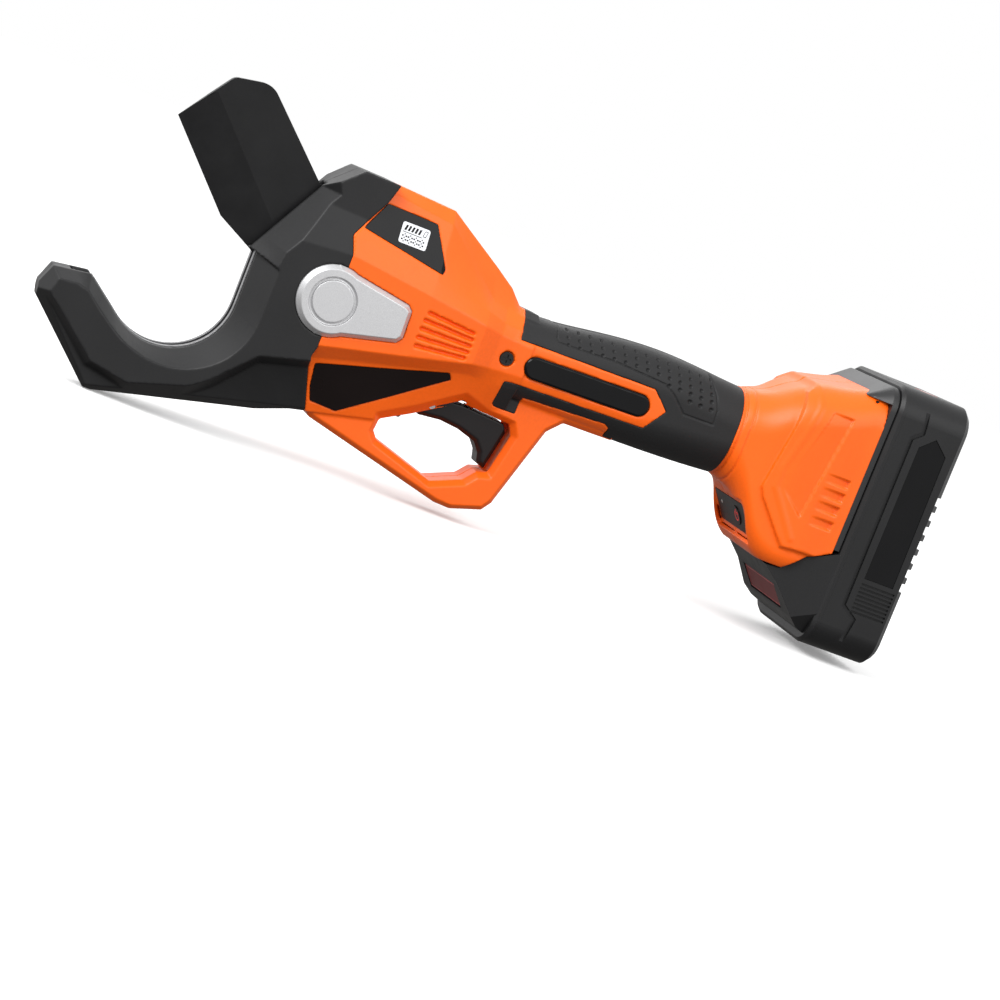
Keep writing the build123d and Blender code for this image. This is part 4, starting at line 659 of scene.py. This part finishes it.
def lcd():
    """Pale display face with a charge bar, a rule under it and a row of digits."""
    low, high = (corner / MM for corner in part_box("display_module"))
    wide, tall = high.x - low.x, high.z - low.z
    frame_of = side_frame("display_window")
    face = rounded_outline((low.x, low.z), (high.x, high.z), LCD_CORNER)
    plate_piece("lcd_face", [face], "display_window", frame_of, MATERIALS["display_glass"],
                lift=0.03, sink=0.03)
    shapes = []

    def at(u, v):
        return (low.x + u * wide, low.z + v * tall)

    def mark(u0, v0, u1, v1, lean=0.0):
        shapes.append([at(u0, v0), at(u1, v0), at(u1 + lean, v1), at(u0 + lean, v1)])

    for left, width in LCD_FULL_BLOCKS + LCD_EMPTY_BLOCK_SIDES:
        mark(left, LCD_BLOCK_FOOT, left + width, LCD_BLOCK_TOP, LCD_BLOCK_LEAN)
    for line in LCD_EMPTY_BLOCK_ENDS + [LCD_RULE]:
        mark(*line)
    stroke, tall_half, wide_half = LCD_STROKE, LCD_STROKE * LCD_STROKE_TALL, LCD_STROKE * LCD_STROKE_WIDE
    foot, top = LCD_DIGIT_FOOT, LCD_DIGIT_TOP
    middle = (foot + top) / 2
    for i in range(LCD_DIGITS):
        left = LCD_DIGIT_FIRST + LCD_DIGIT_PITCH * i
        right = left + LCD_DIGIT_WIDTH
        for level in (foot, middle, top):
            mark(left + stroke, level - tall_half, right - stroke, level + tall_half)
        for upright in (left, right):
            for v0, v1 in ((foot, middle), (middle, top)):
                mark(upright - wide_half, v0 + stroke, upright + wide_half, v1 - stroke)
    plate_piece("lcd_marks", shapes, "display_window", frame_of, MATERIALS["gloss_black"],
                lift=0.06, sink=0.0)


def joint_frame(joint, node):
    """Maps (along the slope, across) in mm to the top of a button that moves along a joint's axis."""
    inward = Vector(JOINTS[joint]["axis"])
    low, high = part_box(node)
    centre = (low + high) / 2
    mesh = NODES[node].data
    top = max((v.co - centre).dot(-inward) for v in mesh.vertices)
    slope = Vector((inward.z, 0.0, -inward.x))
    across = Vector((0.0, LEFT, 0.0))
    seat = centre - inward * top

    def at(u, v):
        return seat + (slope * u + across * v) * MM, -inward
    return at


def ring(radius, width, start, end, steps):
    """Quads of an arc, angles in degrees."""
    quads = []
    outer = radius + width
    for i in range(steps):
        a, b = (math.radians(start + (end - start) * (i + j) / steps) for j in (0, 1))
        quads.append([
            (radius * math.cos(a), radius * math.sin(a)),
            (radius * math.cos(b), radius * math.sin(b)),
            (outer * math.cos(b), outer * math.sin(b)),
            (outer * math.cos(a), outer * math.sin(a)),
        ])
    return quads


def glowing_icon_paint():
    # red print for the power icon; its emission is a painted glow, since the icon is print and no lamp
    paint = Paint("icon_red_painted_glow", colour=(0.55, 0.02, 0.02, 1.0), roughness=0.35, glow=(0.9, 0.05, 0.04, 1.0),
                  emission=0.25)
    cloud = paint.noise(900.0, 2.0)
    paint.colour(paint.mix(cloud, (0.45, 0.015, 0.015, 1.0), (0.62, 0.03, 0.03, 1.0)))
    paint.rough(paint.span(cloud, 0.3, 0.4))
    return paint.material


def edge_paint():
    paint = Paint("button_edge", colour=(0.42, 0.06, 0.06, 1.0), roughness=0.3)
    cloud = paint.noise(700.0, 2.0)
    paint.colour(paint.mix(cloud, (0.36, 0.05, 0.05, 1.0), (0.5, 0.09, 0.09, 1.0)))
    paint.rough(paint.span(cloud, 0.25, 0.4))
    return paint.material


ICON_RADIUS = 1.9
ICON_LINE = 0.55
ICON_ARC = (215.0, 505.0)           # degrees, which leaves the gap
ICON_STEPS = 28
ICON_BAR = ((-0.3, 0.0), (-2.9, 0.0))
RELEASE_BUTTON_DEPTH = 3.2          # mm along its travel
RIM_INSET = 0.75
RIM_LINE = 0.35


def power_icon():
    """Ring with a gap and a short bar on the power button."""
    shapes = ring(ICON_RADIUS, ICON_LINE, *ICON_ARC, ICON_STEPS)
    shapes.append(bar(*ICON_BAR, ICON_LINE))
    plate_piece("power_icon", shapes, "power_button", joint_frame("power_press", "power_button"),
                glowing_icon_paint(), lift=0.05, sink=0.05)


def button_rim():
    """Fine pale line round the top of the battery release button."""
    low, high = (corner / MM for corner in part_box("release_button"))
    half_across = (high.y - low.y) / 2 - RIM_INSET
    inward = Vector(JOINTS["release_press"]["axis"])
    half_along = (high.z - low.z - RELEASE_BUTTON_DEPTH * inward.z) / inward.x / 2 - RIM_INSET
    corners = [(-half_along, -half_across), (half_along, -half_across), (half_along, half_across),
               (-half_along, half_across)]
    shapes = [bar(corners[i], corners[(i + 1) % 4], RIM_LINE) for i in range(4)]
    frame_of = joint_frame("release_press", "release_button")
    plate_piece("release_button_rim", shapes, "release_button", frame_of, edge_paint(),
                lift=0.04, sink=0.05)


lcd()
power_icon()
button_rim()


# ---------------------------------------------------------------- stage, lights and camera
def camera_axes():
    """Right, up and back of the camera in the tool's frame."""
    azimuth, elevation, roll = (math.radians(value) for value in (VIEW_AZIMUTH, VIEW_ELEVATION, VIEW_ROLL))
    back = Vector((math.sin(azimuth) * math.cos(elevation), -math.cos(azimuth) * math.cos(elevation),
                   math.sin(elevation)))
    level = Vector((math.cos(azimuth), math.sin(azimuth), 0.0))
    over = back.cross(level)
    right = level * math.cos(roll) + over * math.sin(roll)
    up = over * math.cos(roll) - level * math.sin(roll)
    return right, up, back


RIGHT, UP, BACK = camera_axes()
CENTRE = (CAD_BOX[0] + CAD_BOX[1]) / 2
AIM = CENTRE + AIM_OFFSET


def make_camera():
    data = bpy.data.cameras.new("view")
    data.lens = VIEW_LENS
    data.sensor_width = 36.0
    data.clip_start = 0.05
    data.clip_end = 50.0
    camera = bpy.data.objects.new("view", data)
    bpy.context.scene.collection.objects.link(camera)
    turn = Matrix((RIGHT, UP, BACK)).transposed()
    camera.matrix_world = Matrix.Translation(AIM + BACK * VIEW_DISTANCE) @ turn.to_4x4()
    bpy.context.scene.camera = camera


def soft_light(name, offset, size, power):
    """Softbox at an offset from the tool, given as camera right, up and back, aimed at the tool."""
    data = bpy.data.lights.new(name, "AREA")
    data.shape = "RECTANGLE"
    data.size, data.size_y = size
    data.energy = power
    light = bpy.data.objects.new(name, data)
    bpy.context.scene.collection.objects.link(light)
    way = RIGHT * offset[0] + UP * offset[1] + BACK * offset[2]
    light.location = CENTRE + way
    light.rotation_mode = "QUATERNION"
    light.rotation_quaternion = way.to_track_quat("Z", "Y")


FLOOR_RADIUS = 6.0
FLOOR_GAP = 0.0002


def make_floor():
    """Plain paper floor just under the tool."""
    mesh = bpy.data.meshes.new("floor")
    work = bmesh.new()
    bmesh.ops.create_circle(work, cap_ends=True, radius=FLOOR_RADIUS, segments=96)
    work.to_mesh(mesh)
    work.free()
    floor = bpy.data.objects.new("floor", mesh)
    bpy.context.scene.collection.objects.link(floor)
    floor.location = (CENTRE.x, CENTRE.y, CAD_BOX[0].z - FLOOR_GAP)
    paint = Paint("floor_paper", colour=(0.86, 0.86, 0.86, 1.0), roughness=0.8, glow=(1.0, 1.0, 1.0, 1.0),
                  emission=0.22)
    fibre = paint.noise(220.0, 3.0)
    paint.colour(paint.mix(fibre, (0.85, 0.85, 0.85, 1.0), (0.88, 0.88, 0.88, 1.0)))
    paint.rough(paint.span(fibre, 0.75, 0.9))
    mesh.materials.append(paint.material)
    floor.visible_glossy = False
    floor.visible_diffuse = False


WORLD_DIM_Z = -0.35                 # Z of the direction in which the air is dimmest
WORLD_WHITE_Z = -0.04


def make_world():
    """Pale studio air: white above the horizon and dim below it, so undersides stay dark."""
    world = bpy.data.worlds.new("studio")
    bpy.context.scene.world = world
    world.use_nodes = True
    tree = world.node_tree
    background = tree.nodes["Background"]
    place = tree.nodes.new("ShaderNodeTexCoord")
    split = tree.nodes.new("ShaderNodeSeparateXYZ")
    span = tree.nodes.new("ShaderNodeMapRange")
    ramp = tree.nodes.new("ShaderNodeValToRGB")
    tree.links.new(place.outputs["Generated"], split.inputs[0])
    span.inputs["From Min"].default_value = WORLD_DIM_Z
    span.inputs["From Max"].default_value = WORLD_WHITE_Z
    tree.links.new(split.outputs["Z"], span.inputs["Value"])
    tree.links.new(span.outputs["Result"], ramp.inputs[0])
    tree.links.new(ramp.outputs["Color"], background.inputs["Color"])
    ramp.color_ramp.elements[0].position = 0.0
    ramp.color_ramp.elements[0].color = (0.20, 0.195, 0.19, 1.0)
    ramp.color_ramp.elements[1].position = 1.0
    ramp.color_ramp.elements[1].color = (1.0, 1.0, 1.0, 1.0)
    background.inputs["Strength"].default_value = 1.0


make_camera()
make_world()
make_floor()
# name, offset from the tool to the right, up and back in metres, size in metres, power in watts
LIGHTS = [
    ("key", (-0.5, 0.9, 0.75), (0.9, 0.6), 14.0),
    ("fill", (0.7, 0.25, 0.9), (0.6, 0.9), 4.0),
    ("rim", (0.1, 0.8, -0.8), (1.0, 0.5), 2.5),
]
for light in LIGHTS:
    soft_light(*light)
bpy.context.scene.view_settings.view_transform = "Standard"
